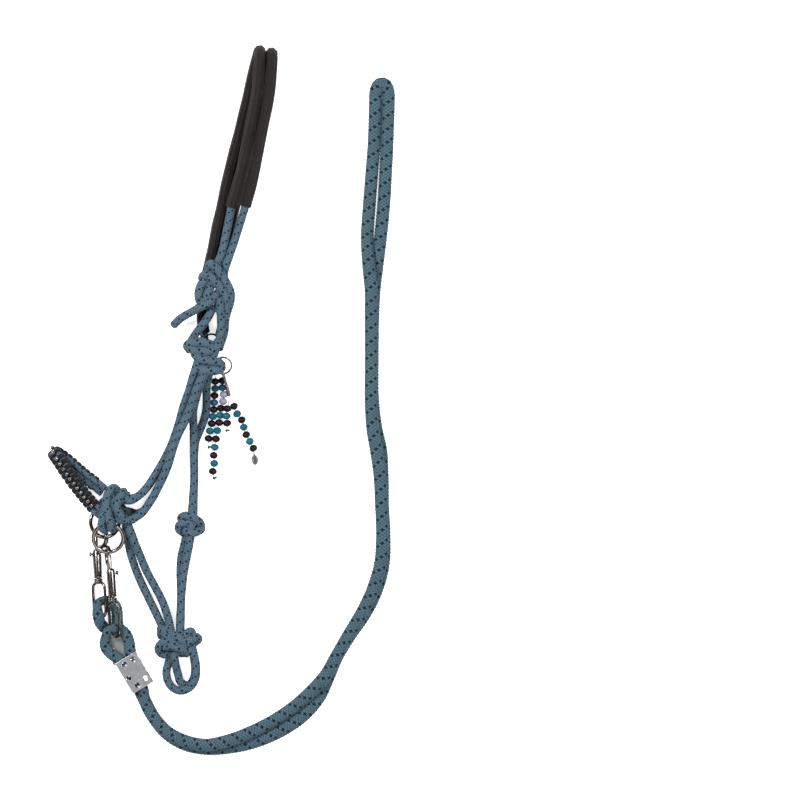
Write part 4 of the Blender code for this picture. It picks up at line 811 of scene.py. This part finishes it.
def crown_sleeve(name, points, seed):
    """Woven tube round a crown rope, hollow, with soft ribs, creases at its bends and a turned-in rim."""
    line = even(points[SLEEVE_FIRST:SLEEVE_LAST + 1], 1.2)
    count, sides = len(line), 60
    random = np.random.default_rng(seed)
    bend = np.linalg.norm(np.gradient(normalised(np.gradient(line, axis=0)), axis=0), axis=1)
    bend = np.convolve(bend, np.ones(9) / 9, "same") / 0.12
    angle = 2 * np.pi * np.arange(sides) / sides
    along = np.arange(count) * 1.2
    ribs = 0.26 * np.cos(8 * angle)[None] + 0.05 * np.cos(along[:, None] * 2.6)
    waves = sum(random.uniform(0.05, 0.12) * np.sin(along[:, None] / random.uniform(5, 16) + k * angle
                                                    + random.uniform(0, 6.3)) for k in (1, 2, 3, 2, 1))
    creases = 0.28 * np.clip(bend, 0, 1)[:, None] * np.sin(along[:, None] * 1.5 + 1.5 * np.sin(angle * 2))
    radius = SLEEVE_RADIUS - 0.25 + ribs + waves + creases
    from_end = np.minimum(along, along[-1] - along)[:, None]
    radius = radius + 0.35 * np.exp(-((from_end - 1.6) / 1.3)**2) - 0.5 * np.exp(-(from_end / 0.7)**2)
    inner = np.full((count, 1), SLEEVE_RADIUS - SLEEVE_WALL) + 0 * angle
    shape = Shape()
    _, normal, side = frames_along(line, None)

    def rows(r):
        return (line[:, None] + normal[:, None] * (r * np.sin(angle))[..., None]
                - side[:, None] * (r * np.cos(angle))[..., None])

    whole = np.concatenate([rows(radius), rows(inner)[::-1]])
    whole = np.concatenate([whole, whole[:1]])
    u = np.concatenate([along, along[::-1], along[:1]]) * UV_SCALE
    v = np.arange(sides + 1) / sides
    shape.grid(whole, np.stack(np.broadcast_arrays(u[:, None], v[None]), -1).astype(float))
    obj = piece(shape.made(name + "_woven", BLACK_WEB), "halter", "black_web", name)


def crown():
    for name, points in (("crown_rope_left", CROWN_LEFT), ("crown_rope_right", CROWN_RIGHT)):
        free_rope(name, points, radius=ROPE_RADIUS - 0.1, reach=3.0)
    crown_sleeve("crown_sleeve_left", CROWN_LEFT, 3)
    crown_sleeve("crown_sleeve_right", CROWN_RIGHT, 8)
    free_rope("tie_tail", TIE_TAIL, reach=0)
    free_rope("tie_leg_left", TIE_LEG_LEFT)
    free_rope("tie_leg_right", TIE_LEG_RIGHT)
    knot("tie_knot", [*TIE_KNOT.values(), TIE_UNDER_TURN])


# ---------------------------------------------------------------- cheeks, throat and chin

def ear_knots():
    turns = [*EAR_KNOT.values(), EAR_KNOT_UNDER]
    knot("near_ear_knot", turns, 4.7)
    knot("far_ear_knot", [mirrored(points) for points in turns], 4.6)


def shortened(points):
    """The far nose knot is tied tighter, which leaves room for its snap's hook below it."""
    return [(x + 1.0, FAR_KNOT_TOP + (y - FAR_KNOT_TOP) * FAR_KNOT_SHARE, z) for x, y, z in points]


def ropes_and_knots():
    for name, points in (("near_cheek_rope_outer", CHEEK_NEAR_OUTER),
                         ("near_cheek_rope_inner", CHEEK_NEAR_INNER),
                         ("far_cheek_rope_outer", CHEEK_FAR_OUTER),
                         ("far_cheek_rope_inner", CHEEK_FAR_INNER),
                         ("near_throat_rope", THROAT_NEAR), ("far_throat_rope", THROAT_FAR),
                         ("throat_lower_rope_left", THROAT_LOWER_LEFT),
                         ("throat_lower_rope_right", THROAT_LOWER_RIGHT),
                         ("near_chin_rope", CHIN_NEAR), ("far_chin_rope", CHIN_FAR),
                         ("lead_loop_outer", LEAD_LOOP_OUTER), ("lead_loop_inner", LEAD_LOOP_INNER)):
        free_rope(name, points)
    knot("throat_knot", THROAT_KNOT.values(), 4.2)
    knot("near_nose_knot", NOSE_KNOT.values(), 4.3)
    knot("far_nose_knot", [shortened(mirrored(points)) for points in NOSE_KNOT.values()], 3.9)
    knot("fiador_knot", FIADOR_KNOT.values(), 4.3)


# ---------------------------------------------------------------- noseband

def band_stations(step):
    """Evenly spaced (distance, centre, across, outward, along) from the band's near end to its far end."""
    line = even(NOSEBAND, 1.0)
    steps = np.concatenate([[0], np.cumsum(np.linalg.norm(np.diff(line, axis=0), axis=1))])
    along = normalised(np.gradient(line, axis=0))
    across = np.array(Vector(BAND_AXIS).normalized())
    stations = []
    for at in np.arange(0, steps[-1], step):
        centre = np.array([np.interp(at, steps, line[:, k]) for k in range(3)])
        forward = np.array([np.interp(at, steps, along[:, k]) for k in range(3)])
        forward /= np.linalg.norm(forward)
        side = across - forward * across.dot(forward)
        side /= np.linalg.norm(side)
        stations.append((at, centre, side, np.cross(forward, side), forward))
    return stations, steps[-1]


def noseband():
    fine, length = band_stations(1.0)
    for name, sign in (("noseband_rope_upper", 1), ("noseband_rope_lower", -1)):
        route = [centre + side * sign * BAND_PITCH / 2 for _, centre, side, _, _ in fine]
        shape = Shape()
        line = rope_into(shape, route, BAND_ROPE_RADIUS, lead=14.0, relief=0.3, smooth=False)
        obj = piece(shape.made(name + "_braid", HALTER_ROPE), "halter", "blue_rope", name)
    stations, _ = band_stations(LACE_PITCH)
    stations = [s for s in stations if LACE_START <= s[0] <= length - LACE_STOP]
    half, reach = BAND_PITCH / 2, BAND_ROPE_RADIUS + 0.45
    lacing, balls = Shape(), Shape()
    for _, centre, side, outward, forward in stations:
        around = [(-half - reach * math.cos(a), reach * math.sin(a)) for a in
                  (math.radians(d) for d in (-32, -15, 0, 20, 40, 60, 78, 95))]
        around += [(-across, out) for across, out in reversed(around)]
        points = [centre + side * across + outward * out for across, out in around]
        ups = [side * (across + math.copysign(half, -across)) * (abs(across) > half) + outward * out
               for across, out in around]
        strap = even(points, 0.5)
        share = np.linspace(0, len(ups) - 1, len(strap))
        up = np.stack([np.interp(share, range(len(ups)), np.array(ups)[:, i]) for i in range(3)], 1)
        lacing.tube(strap, 2.4, sides=12, flat=0.28, up=up, lead=5.0, relief=0.1)
        seat = centre - side * BALL_ASIDE
        balls.ball(seat + outward * BALL_HEIGHT, BALL_RADIUS, along=outward, stretch=0.85, sides=24, rings=16)
    piece(lacing.made("noseband_lacing_straps", BLACK_CORD), "halter", "black_web", "noseband_lacing")
    piece(balls.made("noseband_balls", NICKEL), "halter", "nickel_plate", "noseband_ball_chain")


# ---------------------------------------------------------------- rings and bolt snaps

def closed_ring(name, radius, wire, frame, material, body, slot, node, sides=96):
    """A wire ring. Its grid joins its last row to its first."""
    shape = Shape()
    angles = 2 * np.pi * np.arange(sides + 1) / sides
    around = 2 * np.pi * np.arange(20) / 20
    wide = radius + wire * np.cos(around)[None]
    rows = np.stack([wide * np.cos(angles)[:, None], wide * np.sin(angles)[:, None],
                     -wire * np.sin(around)[None] + 0 * wide * angles[:, None]], -1)
    u = angles * radius * UV_SCALE
    uv = np.stack(np.broadcast_arrays(u[:, None], (np.arange(21) / 20)[None]), -1).astype(float)
    shape.grid(moved(rows, frame), uv)
    return piece(shape.made(name, material), body, slot, node)


def ring_frame(at, tilt):
    return place(*at, Matrix.Rotation(tilt[0], 4, "X") @ Matrix.Rotation(tilt[1], 4, "Y"))


def snap_frame(spec, roll):
    """X along the snap, Y towards the hook at the roll angle (degrees) above the table."""
    along = Vector(spec["along"]).normalized()
    level = Vector((0, 0, 1)).cross(along).normalized()
    upward = along.cross(level)
    angle = math.radians(roll)
    side = level * math.cos(angle) + upward * math.sin(angle)
    return place(*spec["at"], Matrix((along, side, along.cross(side))).transposed().to_4x4())


def temporary(shape, name, sharp=None):
    obj = shape.made(name, NICKEL, sharp=sharp)
    obj.hide_render = True
    return obj


def stadium(start, end, half_width, low, high, frame):
    """A slot cutter: straight sides with round ends along X, from low to high along Y."""
    outline = []
    for centre, first in ((end - half_width, -90), (start + half_width, 90)):
        for k in range(9):
            a = math.radians(first + 180 * k / 8)
            outline.append((centre + half_width * math.cos(a), half_width * math.sin(a)))
    shape = bmesh.new()
    bottom = [shape.verts.new(frame @ Vector((x, low, z)) * MM) for x, z in outline]
    top = [shape.verts.new(frame @ Vector((x, high, z)) * MM) for x, z in outline]
    shape.faces.new(bottom)
    shape.faces.new(top[::-1])
    for i in range(len(outline)):
        j = (i + 1) % len(outline)
        shape.faces.new((bottom[j], bottom[i], top[i], top[j]))
    bmesh.ops.recalc_face_normals(shape, faces=shape.faces)
    mesh = bpy.data.meshes.new("slot_cutter")
    shape.to_mesh(mesh)
    shape.free()
    obj = bpy.data.objects.new("slot_cutter", mesh)
    bpy.context.scene.collection.objects.link(obj)
    obj.hide_render = True
    return obj


def cut(obj, *cutters, bevel=0.25):
    """obj with the cutters taken out of it, its new edges rounded off and the cutters removed."""
    for cutter in cutters:
        step = obj.modifiers.new("cut", "BOOLEAN")
        step.operation = "DIFFERENCE"
        step.object = cutter
    if bevel:
        soften = obj.modifiers.new("soften", "BEVEL")
        soften.width = bevel * MM
        soften.segments = 2
        soften.limit_method = "ANGLE"
        soften.angle_limit = math.radians(50)
    bpy.context.view_layer.update()
    graph = bpy.context.evaluated_depsgraph_get()
    mesh = bpy.data.meshes.new_from_object(obj.evaluated_get(graph))
    obj.modifiers.clear()
    obj.data = mesh
    mesh.shade_smooth()
    mesh.set_sharp_from_angle(angle=math.radians(40))
    for cutter in cutters:
        bpy.data.objects.remove(cutter, do_unlink=True)
    obj.hide_render = False
    return obj


def joined(name, *objects):
    """One mesh object made of several, which are removed."""
    shape = bmesh.new()
    for obj in objects:
        shape.from_mesh(obj.data)
    mesh = objects[0].data.copy()
    shape.to_mesh(mesh)
    shape.free()
    for obj in objects:
        bpy.data.objects.remove(obj, do_unlink=True)
    mesh.name = name
    made = bpy.data.objects.new(name, mesh)
    bpy.context.scene.collection.objects.link(made)
    return made


def snap_body(name, body, frame, slot_frame, node):
    x, y = HOOK_CENTRE
    points = [(4.5, 0.6, 0), (2.5, 1.7, 0), (0.6, 4.2, 0)]
    points += [(x + HOOK_RADIUS * math.cos(math.radians(d)), y + HOOK_RADIUS * math.sin(math.radians(d)), 0)
               for d in range(0, 241, 15)]
    hook = Shape()
    line = even([frame @ Vector(p) for p in points], 0.7)
    share = np.linspace(0, 1, len(line))
    swell = HOOK_WIRE * (1 + 0.35 * np.exp(-(share / 0.12)**2) - 0.12 * np.exp(-((1 - share) / 0.05)**2))
    hook.tube(line, swell, sides=24)
    barrel = Shape()
    r, end = BARREL_RADIUS, BARREL_LENGTH
    barrel.turned([(-1.6, 0.0), (-1.6, 2.9), (-1.3, 3.5), (-0.4, 4.0), (1.0, 4.2), (2.0, r),
                   (end - 3.6, r), (end - 3.3, r - 0.3), (end - 2.9, r - 0.3), (end - 2.6, r),
                   (end - 0.7, r), (end - 0.2, r - 0.3), (end, r - 0.8), (end, 0.0)], frame, 64)
    bore_end, stem_from = SPRING_ENDS[1] + 0.3, SPRING_ENDS[1] + 1.5
    bore = Shape()
    bore.turned([(-8, 0), (-8, 2.35), (bore_end, 2.35), (bore_end, 0)], frame, 32)
    stem = Shape()
    stem.turned([(stem_from, 0), (stem_from, 2.4), (end + 3, 2.4), (end + 3, 0)], frame, 32)
    solid = cut(temporary(barrel, name), temporary(bore, "bore"), temporary(stem, "stem_bore"),
                stadium(1.3, 1.3 + BOLT_TRAVEL + 3.4, SLOT_WIDTH / 2, 0.5, 8.0, slot_frame))
    whole = joined(name, solid, hook.made("hook", NICKEL))
    return piece(whole, body, "nickel_plate", node)


def snap_bolt(name, body, frame, slot_frame, node):
    """The sliding bolt with its thumb knob, which stands out of the slot."""
    shape = Shape()
    shape.turned([(BOLT_TIP, 0), (BOLT_TIP + 0.1, 0.9), (BOLT_TIP + 0.6, 1.6), (BOLT_TIP + 1.4, 1.95),
                  (BOLT_BACK - 0.3, 1.95), (BOLT_BACK, 1.6), (BOLT_BACK, 0)], frame, 32)
    sideways = slot_frame @ place(3.0, 0, 0, Matrix.Rotation(math.pi / 2, 4, "Z"))
    shape.turned([(0.5, 0), (0.5, 1.1), (5.2, 1.1), (5.5, 1.7), (5.8, 2.2), (6.2, 2.4), (6.6, 2.4),
                  (6.75, 2.2), (6.9, 2.4), (7.2, 2.4), (7.5, 2.1), (7.7, 1.4), (7.8, 0)], sideways, 36)
    return piece(shape.made(name, NICKEL, sharp=45), body, "nickel_plate", node)


def snap_spring(name, body, frame, node):
    first, last = SPRING_ENDS
    shape = Shape()
    points = []
    for k in range(6 * 24 + 1):
        a = 2 * math.pi * k / 24
        points.append(frame @ Vector((first + 0.3 + (last - first - 0.6) * k / 144,
                                      1.55 * math.cos(a), 1.55 * math.sin(a))))
    shape.tube(np.array([tuple(p) for p in points]), 0.3, sides=10)
    obj = piece(shape.made(name, NICKEL), body, "nickel_plate", node)
    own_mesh(obj)


def snap_eye(name, body, frame, node):
    """The swivelling eye: a long wire loop on a stem that turns in the barrel's end."""
    start, w = BARREL_LENGTH + EYE_START, EYE_HALF_WIDTH
    arc = EYE_END - w
    half = [(start + 0.2, 0.0), (start + 0.3, 2.4), (start + 1.3, 5.2), (start + 4.0, w - 0.2),
            (start + 7.0, w), (arc - 8.0, w), (arc, w)]
    half += [(arc + w * math.sin(math.radians(d)), w * math.cos(math.radians(d))) for d in (22, 45, 67)]
    loop = half + [(EYE_END, 0.0)] + [(x, -y) for x, y in reversed(half[1:])] + [half[0]]
    shape = Shape()
    shape.tube(even([frame @ Vector((x, y, 0)) for x, y in loop], 0.8), EYE_WIRE, sides=20)
    b = BARREL_LENGTH
    shape.turned([(SPRING_ENDS[1] + 2, 0), (SPRING_ENDS[1] + 2, 1.9), (b + 0.4, 1.9), (b + 0.5, 4.0),
                  (b + 0.9, 4.6), (b + 1.6, 4.8), (b + 2.2, 4.6), (b + 2.5, 4.1), (b + 2.9, 4.5),
                  (b + 3.6, 4.6), (b + 4.4, 4.1), (b + 5.0, 2.9), (b + 5.8, 2.0), (b + 6.5, 0)], frame, 48)
    return piece(shape.made(name, NICKEL, sharp=50), body, "nickel_plate", node)


def rings_and_snaps():
    closed_ring("near_rein_ring", RING_RADIUS, RING_WIRE, ring_frame(NEAR_RING_AT, NEAR_RING_TILT), NICKEL,
                "near_ring", "nickel_plate", "near_ring")
    closed_ring("far_rein_ring", RING_RADIUS, RING_WIRE, ring_frame(FAR_RING_AT, FAR_RING_TILT), NICKEL,
                "halter", "nickel_plate", "far_ring")
    for side, spec, body in (("near", NEAR_SNAP, "near_snap"), ("far", FAR_SNAP, "halter")):
        frame_of_hook = snap_frame(spec, spec["hook_roll"])
        slot_frame = snap_frame(spec, spec["knob_roll"])
        snap_body(side + "_snap_casting", body, frame_of_hook, slot_frame, side + "_snap_body")
        snap_bolt(side + "_bolt_and_knob", side + "_bolt", frame_of_hook, slot_frame, side + "_snap_bolt")
        snap_spring(side + "_bolt_spring", body, frame_of_hook, side + "_snap_spring")
        snap_eye(side + "_eye_and_collar", side + "_eye", snap_frame(spec, spec["eye_roll"]),
                 side + "_swivel_eye")


# ---------------------------------------------------------------- reins

def rein_pair():
    """Both strands of the doubled rein from the clamps to the top fold: side by side or stacked."""
    low = REIN_HALF[1] + 0.2
    centres = [Vector(station[:2]) for station in REIN_STATIONS]
    near, far = [], []
    for i, (x, y, half_gap) in enumerate(REIN_STATIONS):
        along = (centres[min(i + 1, len(centres) - 1)] - centres[max(i - 1, 0)]).normalized()
        left = Vector((-along.y, along.x))
        share = min(1.0, half_gap / (REIN_HALF[0] - 0.1))
        rise = 2 * (REIN_HALF[1] + 0.1) * math.sqrt(1.0 - share * share)
        near.append((*(centres[i] + left * half_gap), low + rise))
        far.append((*(centres[i] - left * half_gap), low))
    return near, far


def clamp_frame(spec):
    along = Vector(spec["along"]).normalized()
    up = Vector((0, 0, 1))
    return place(*spec["at"], Matrix((along, up.cross(along), up)).transposed().to_4x4())


def rounded_box(size, centre, round_by, frame):
    shape = bmesh.new()
    bmesh.ops.create_cube(shape, size=1.0)
    for corner in shape.verts:
        corner.co = Vector(centre) + Vector([side * c for side, c in zip(size, corner.co)])
    bmesh.ops.bevel(shape, geom=shape.edges[:], offset=round_by, segments=3, affect="EDGES", profile=0.5)
    shape.transform(Matrix.Scale(MM, 4) @ frame)
    mesh = bpy.data.meshes.new("rounded_box")
    shape.to_mesh(mesh)
    shape.free()
    obj = bpy.data.objects.new("rounded_box", mesh)
    bpy.context.scene.collection.objects.link(obj)
    return obj


def clamp_plate(name, spec, above, node):
    """A pressed plate with pierced holes, small teeth round the holes and side lips towards the rope."""
    placing = clamp_frame(spec)
    length, width, thick = CLAMP_SIZE
    sign = 1 if above else -1
    height = sign * (CLAMP_GAP + thick) / 2
    outline = bpy.data.curves.new("plate_outline", "CURVE")
    outline.dimensions = "2D"
    outline.fill_mode = "BOTH"
    outline.extrude = (thick / 2 - 0.25) * MM
    outline.bevel_depth = 0.25 * MM
    outline.bevel_resolution = 2
    loops = [[]]
    for cx, cy, first in ((1, 1, 0), (-1, 1, 90), (-1, -1, 180), (1, -1, 270)):
        for d in range(0, 91, 15):
            a = math.radians(first + d)
            loops[0].append((cx * (length / 2 - 1.6) + 1.35 * math.cos(a),
                             cy * (width / 2 - 1.6) + 1.35 * math.sin(a)))
    for x, y in CLAMP_HOLES:
        loops.append([(x + (CLAMP_HOLE_RADIUS + 0.25) * math.cos(2 * math.pi * k / 24),
                       y + (CLAMP_HOLE_RADIUS + 0.25) * math.sin(2 * math.pi * k / 24)) for k in range(24)])
    for loop in loops:
        spline = outline.splines.new("POLY")
        spline.points.add(len(loop) - 1)
        for i, (x, y) in enumerate(loop):
            spline.points[i].co = (x * MM, y * MM, 0.0, 1.0)
        spline.use_cyclic_u = True
    plate = bpy.data.objects.new("plate_outline", outline)
    bpy.context.scene.collection.objects.link(plate)
    bpy.context.view_layer.update()
    mesh = bpy.data.meshes.new_from_object(plate.evaluated_get(bpy.context.evaluated_depsgraph_get()))
    bpy.data.objects.remove(plate, do_unlink=True)
    raised = placing @ place(0, 0, height)
    mesh.transform(Matrix.Translation(raised.to_translation() * MM) @ raised.to_3x3().to_4x4())
    plate = bpy.data.objects.new("plate", mesh)
    bpy.context.scene.collection.objects.link(plate)
    lip = CLAMP_GAP / 2 - 0.3
    parts = [plate]
    for x in (-0.30, 0.30):
        parts.append(rounded_box((0.36 * length, thick, lip + thick),
                                 (x * length, sign * (width - thick) / 2,
                                  sign * (CLAMP_GAP / 2 + thick) - sign * (lip + thick) / 2), 0.4, placing))
    teeth = Shape()
    for i, (x, y) in enumerate(CLAMP_HOLES):
        for turn in (0.4 + i, 0.4 + i + math.pi):
            foot = Vector((x + 2.0 * math.cos(turn), y + 2.0 * math.sin(turn), height))
            tip = Vector((x + 1.2 * math.cos(turn), y + 1.2 * math.sin(turn), height - sign * 2.2))
            taper = np.linspace(0.9, 0.15, len(even([foot, foot.lerp(tip, 0.5), tip], 0.4, False)))
            teeth.tube(even([placing @ foot, placing @ foot.lerp(tip, 0.5), placing @ tip], 0.4, False),
                       taper, sides=10)
    parts.append(teeth.made("teeth"))
    plate = joined(name, *parts)
    plate.data.materials.clear()
    plate.data.materials.append(CLAMP_METAL)
    plate.data.shade_smooth()
    plate.data.set_sharp_from_angle(angle=math.radians(35))
    return piece(plate, "halter", "clamp_metal", node)


def flat_rope(name, points, half_width, half_height, node):
    """The rein's soft rope lies a little flat. Both half sizes may change along it."""
    step = REIN_LEAD / (2 * REIN_STRANDS)
    line = even(points, step)
    share = np.linspace(0, 1, len(line))
    wide = np.interp(share, *zip(*half_width)) if isinstance(half_width, list) else half_width
    high = np.interp(share, *zip(*half_height)) if isinstance(half_height, list) else half_height
    shape = Shape()
    shape.tube(line, wide, sides=2 * REIN_STRANDS, relief=0.45, lead=REIN_LEAD, up=(0, 0, 1.0),
               flat=(np.asarray(high) / np.asarray(wide) * np.ones(len(line)))[:, None])
    return line, piece(shape.made(name, REIN_ROPE), "halter", "blue_rope", node)


def reins():
    for side, spec in (("near", NEAR_CLAMP), ("far", FAR_CLAMP)):
        [clamp_plate(f"{side}_clamp_{part}", spec, part == "top", f"{side}_clamp_{part}_plate")
                        for part in ("top", "bottom")]
    near, far = rein_pair()
    route = (NEAR_REIN_END + near + [(x, y, REIN_HALF[1] + 0.2) for x, y, _ in REIN_TOP_FOLD] + far[::-1]
             + FAR_REIN_APPROACH[::-1] + FAR_REIN_END[::-1])
    length = length_of(even(route, 1.0))
    ends = (16.0 / length, 34.0 / length)
    squeeze = [(0, REIN_END_RADIUS + 0.2), (ends[0], REIN_END_RADIUS + 0.2), (ends[1], REIN_HALF[0]),
               (1 - ends[1], REIN_HALF[0]), (1 - ends[0], REIN_END_RADIUS + 0.2), (1, REIN_END_RADIUS + 0.2)]
    height = [(0, REIN_END_RADIUS), (ends[0], REIN_END_RADIUS), (ends[1], REIN_HALF[1]),
              (1 - ends[1], REIN_HALF[1]), (1 - ends[0], REIN_END_RADIUS), (1, REIN_END_RADIUS)]
    line, rein = flat_rope("rein_braid", route, squeeze, height, "rein_rope")
    thin, wide, ends = REIN_END_RADIUS, REIN_END_RADIUS + 1.4, REIN_END_RADIUS + 0.2
    for side, points in (("near", NEAR_REIN_LOOP), ("far", FAR_REIN_LOOP)):
        node = side + "_rein_loop"
        widths = [(0, ends), (0.14, wide), (LOOP_AT_EYE - 0.14, wide), (LOOP_AT_EYE - 0.05, thin),
                  (LOOP_AT_EYE + 0.05, thin), (LOOP_AT_EYE + 0.14, wide), (0.88, wide), (1, ends)]
        line, loop = flat_rope(node + "_braid", points, widths, thin, node)


# ---------------------------------------------------------------- bead charms

def bead_strand(node, body, beads, colours, lead, tail, crimp=True):
    """Glass beads threaded on a cord that shows between them and at its ends."""
    centres = [Vector((*point[:2], point[2] if len(point) > 2 else BEAD_HEIGHT)) for point in beads]
    shape = Shape()
    for i, here in enumerate(centres):
        along = centres[min(i + 1, len(centres) - 1)] - centres[max(i - 1, 0)]
        along.z = 0.0
        shape.ball(here, BEAD_RADIUS, along, stretch=BEAD_STRETCH, hole=0.75, kind="btc".index(colours[i]),
                   sides=28, rings=16)
    glass = shape.made(node + "_beads", BEAD_BLACK, BEAD_TEAL, BEAD_CLEAR)
    beads_obj = piece(glass, body, "bead_glass", node)
    thread = Shape()
    line = even([*lead, *centres, *tail], 0.7)
    thread.tube(line, 0.5, sides=10)
    string = piece(thread.made(node + "_thread", THREAD_WHITE), body, "bead_glass")
    pieces = [beads_obj]
    if crimp:
        tie = Shape()
        spot = Vector(tail[0][:3]).lerp(Vector(tail[1][:3]), 0.6)
        tie.ball(spot, 1.35, Vector(tail[1][:3]) - Vector(tail[0][:3]), stretch=1.1)
        tie.ball(spot + Vector((2.0, 0.3, -0.1)), 0.95, (1, 0, 0), stretch=1.5)
        pieces.append(piece(tie.made(node + "_tie", THREAD_BLACK), body, "bead_glass"))
    return line, string, pieces


def feather():
    """A cast feather: a curved shaft with slanting barbs on both sides and an eye at the top."""
    turn = place(*FEATHER_AT, Matrix.Rotation(math.radians(FEATHER_TURN), 4, "Z"))
    shape = Shape()
    shaft = [turn @ Vector(p) for p in ((0, -0.6, 0.2), (0.1, -3, 0.35), (0.25, -6, 0.4), (0.4, -10.8, 0.1))]
    shape.tube(even(shaft, 0.4), 0.55, sides=12)
    for k in range(11):
        y = -1.9 - 0.78 * k
        reach = 3.1 * math.sin(math.pi * (0.22 + 0.70 * k / 10))
        for sign in (1, -1):
            middle = 0.05 + 0.03 * k
            barb = [turn @ Vector(p) for p in ((middle, y, 0.25),
                                               (middle + sign * reach * 0.55, y - 0.5, 0.3),
                                               (middle + sign * reach, y - 1.5, 0.0))]
            shape.tube(even(barb, 0.3), np.linspace(0.75, 0.6, len(even(barb, 0.3))), sides=8, flat=0.7)
    angles = np.linspace(0, 2 * np.pi, 25)
    eye = [turn @ Vector((0.95 * math.cos(a), -0.3 + 0.95 * math.sin(a), 0.3)) for a in angles]
    shape.tube(even(eye, 0.3), 0.3, sides=10)
    return piece(shape.made("feather_casting", SILVER), "feather", "nickel_plate", "feather_pendant")


def charms():
    for side, at, tilt in (("near", NEAR_CHARM_RING_AT, NEAR_CHARM_RING_TILT),
                           ("far", FAR_CHARM_RING_AT, FAR_CHARM_RING_TILT)):
        closed_ring(side + "_wire_ring", CHARM_RING_RADIUS, CHARM_RING_WIRE,
                    place(*at, Matrix.Rotation(tilt, 4, "X")), DARK_NICKEL, "halter", "nickel_plate",
                    side + "_charm_ring", 72)
    clasp, lever = Shape(), Shape()
    line = even(CLASP_BODY, 0.3)
    share = np.linspace(0, 1, len(line))
    ridges = 0.12 * np.sin(2 * np.pi * share * 24) * (share > 0.55)
    clasp.tube(line, 1.0 + 1.1 * np.clip((share - 0.45) / 0.4, 0, 1) + ridges, sides=20)
    piece(clasp.made("charm_clasp_hook", ROSE_NICKEL), "near_charm", "nickel_plate", "charm_clasp")
    lever.tube(even(CLASP_LEVER, 0.4), 0.6, sides=14)
    piece(lever.made("clasp_lever_wire", ROSE_NICKEL), "clasp_lever", "nickel_plate", "clasp_lever")
    bead_strand("near_strand_right", "near_charm", NEAR_CHARM_RIGHT, "btbtbtb",
                CLASP_TO_RIGHT, RIGHT_TO_FEATHER, crimp=False)
    bead_strand("near_strand_short", "near_charm", NEAR_CHARM_SHORT, "btb", CLASP_TO_SHORT, SHORT_TAIL)
    for node, beads, colours, lead, tail in (
            ("far_strand_left", FAR_CHARM_LEFT, "btbtbtbtb", RING_TO_LEFT, LEFT_TAIL),
            ("far_strand_long", FAR_CHARM_LONG, "btccbtbtbtbtb", RING_TO_LONG, LONG_TAIL)):
        line, string, pieces = bead_strand(node, "halter", beads, colours, lead, tail)
    feather()


# ---------------------------------------------------------------- studio

CAMERA_HEIGHT, FRAME_WIDTH = 20.0, 0.8      # a long lens, straight above
LAMPS = (("key", (-0.95, 0.55, 1.6), 0.6, 50),
         ("fill", (1.35, 0.35, 1.6), 0.6, 34),
         ("front", (0.2, -1.3, 1.5), 1.2, 18))


def studio():
    camera = bpy.data.cameras.new("camera")
    camera.lens = camera.sensor_width * CAMERA_HEIGHT / FRAME_WIDTH
    camera.clip_end = 2 * CAMERA_HEIGHT
    eye = bpy.data.objects.new("camera", camera)
    eye.location = (0.238, -0.029, CAMERA_HEIGHT)
    bpy.context.scene.collection.objects.link(eye)
    bpy.context.scene.camera = eye

    floor_mesh = bpy.data.meshes.new("floor")
    floor_mesh.from_pydata([(-4, -4, 0), (4, -4, 0), (4, 4, 0), (-4, 4, 0)], [], [(0, 1, 2, 3)])
    floor = bpy.data.objects.new("floor", floor_mesh)
    pale = bpy.data.materials.new("floor")
    pale.use_nodes = True
    for socket, value in (("Base Color", (0.93, 0.93, 0.93, 1)), ("Roughness", 0.9),
                          ("Emission Color", (1, 1, 1, 1)), ("Emission Strength", 0.75)):
        pale.node_tree.nodes["Principled BSDF"].inputs[socket].default_value = value
    floor_mesh.materials.append(pale)
    bpy.context.scene.collection.objects.link(floor)

    for name, place_at, size, power in LAMPS:
        lamp = bpy.data.lights.new(name, "AREA")
        lamp.size = size
        lamp.energy = power
        holder = bpy.data.objects.new(name, lamp)
        holder.location = place_at
        aim = Vector((0.1, -0.03, 0.0)) - Vector(place_at)
        holder.rotation_euler = aim.to_track_quat("-Z", "Y").to_euler()
        bpy.context.scene.collection.objects.link(holder)
    world = bpy.data.worlds.new("pale_world")
    bpy.context.scene.world = world
    world.use_nodes = True
    tree = world.node_tree
    height = tree.nodes.new("ShaderNodeSeparateXYZ")
    tree.links.new(tree.nodes.new("ShaderNodeTexCoord").outputs["Generated"], height.inputs[0])
    fade = tree.nodes.new("ShaderNodeMapRange")
    tree.links.new(height.outputs[2], fade.inputs[0])
    for socket, value in zip(list(fade.inputs)[1:5], (0.25, 0.75, 0.10, 1.5)):
        socket.default_value = value
    tree.links.new(fade.outputs[0], tree.nodes["Background"].inputs["Strength"])
    bpy.context.scene.view_settings.view_transform = "Standard"


studio()
ropes_and_knots()
reins()
crown()
ear_knots()
noseband()
rings_and_snaps()
charms()
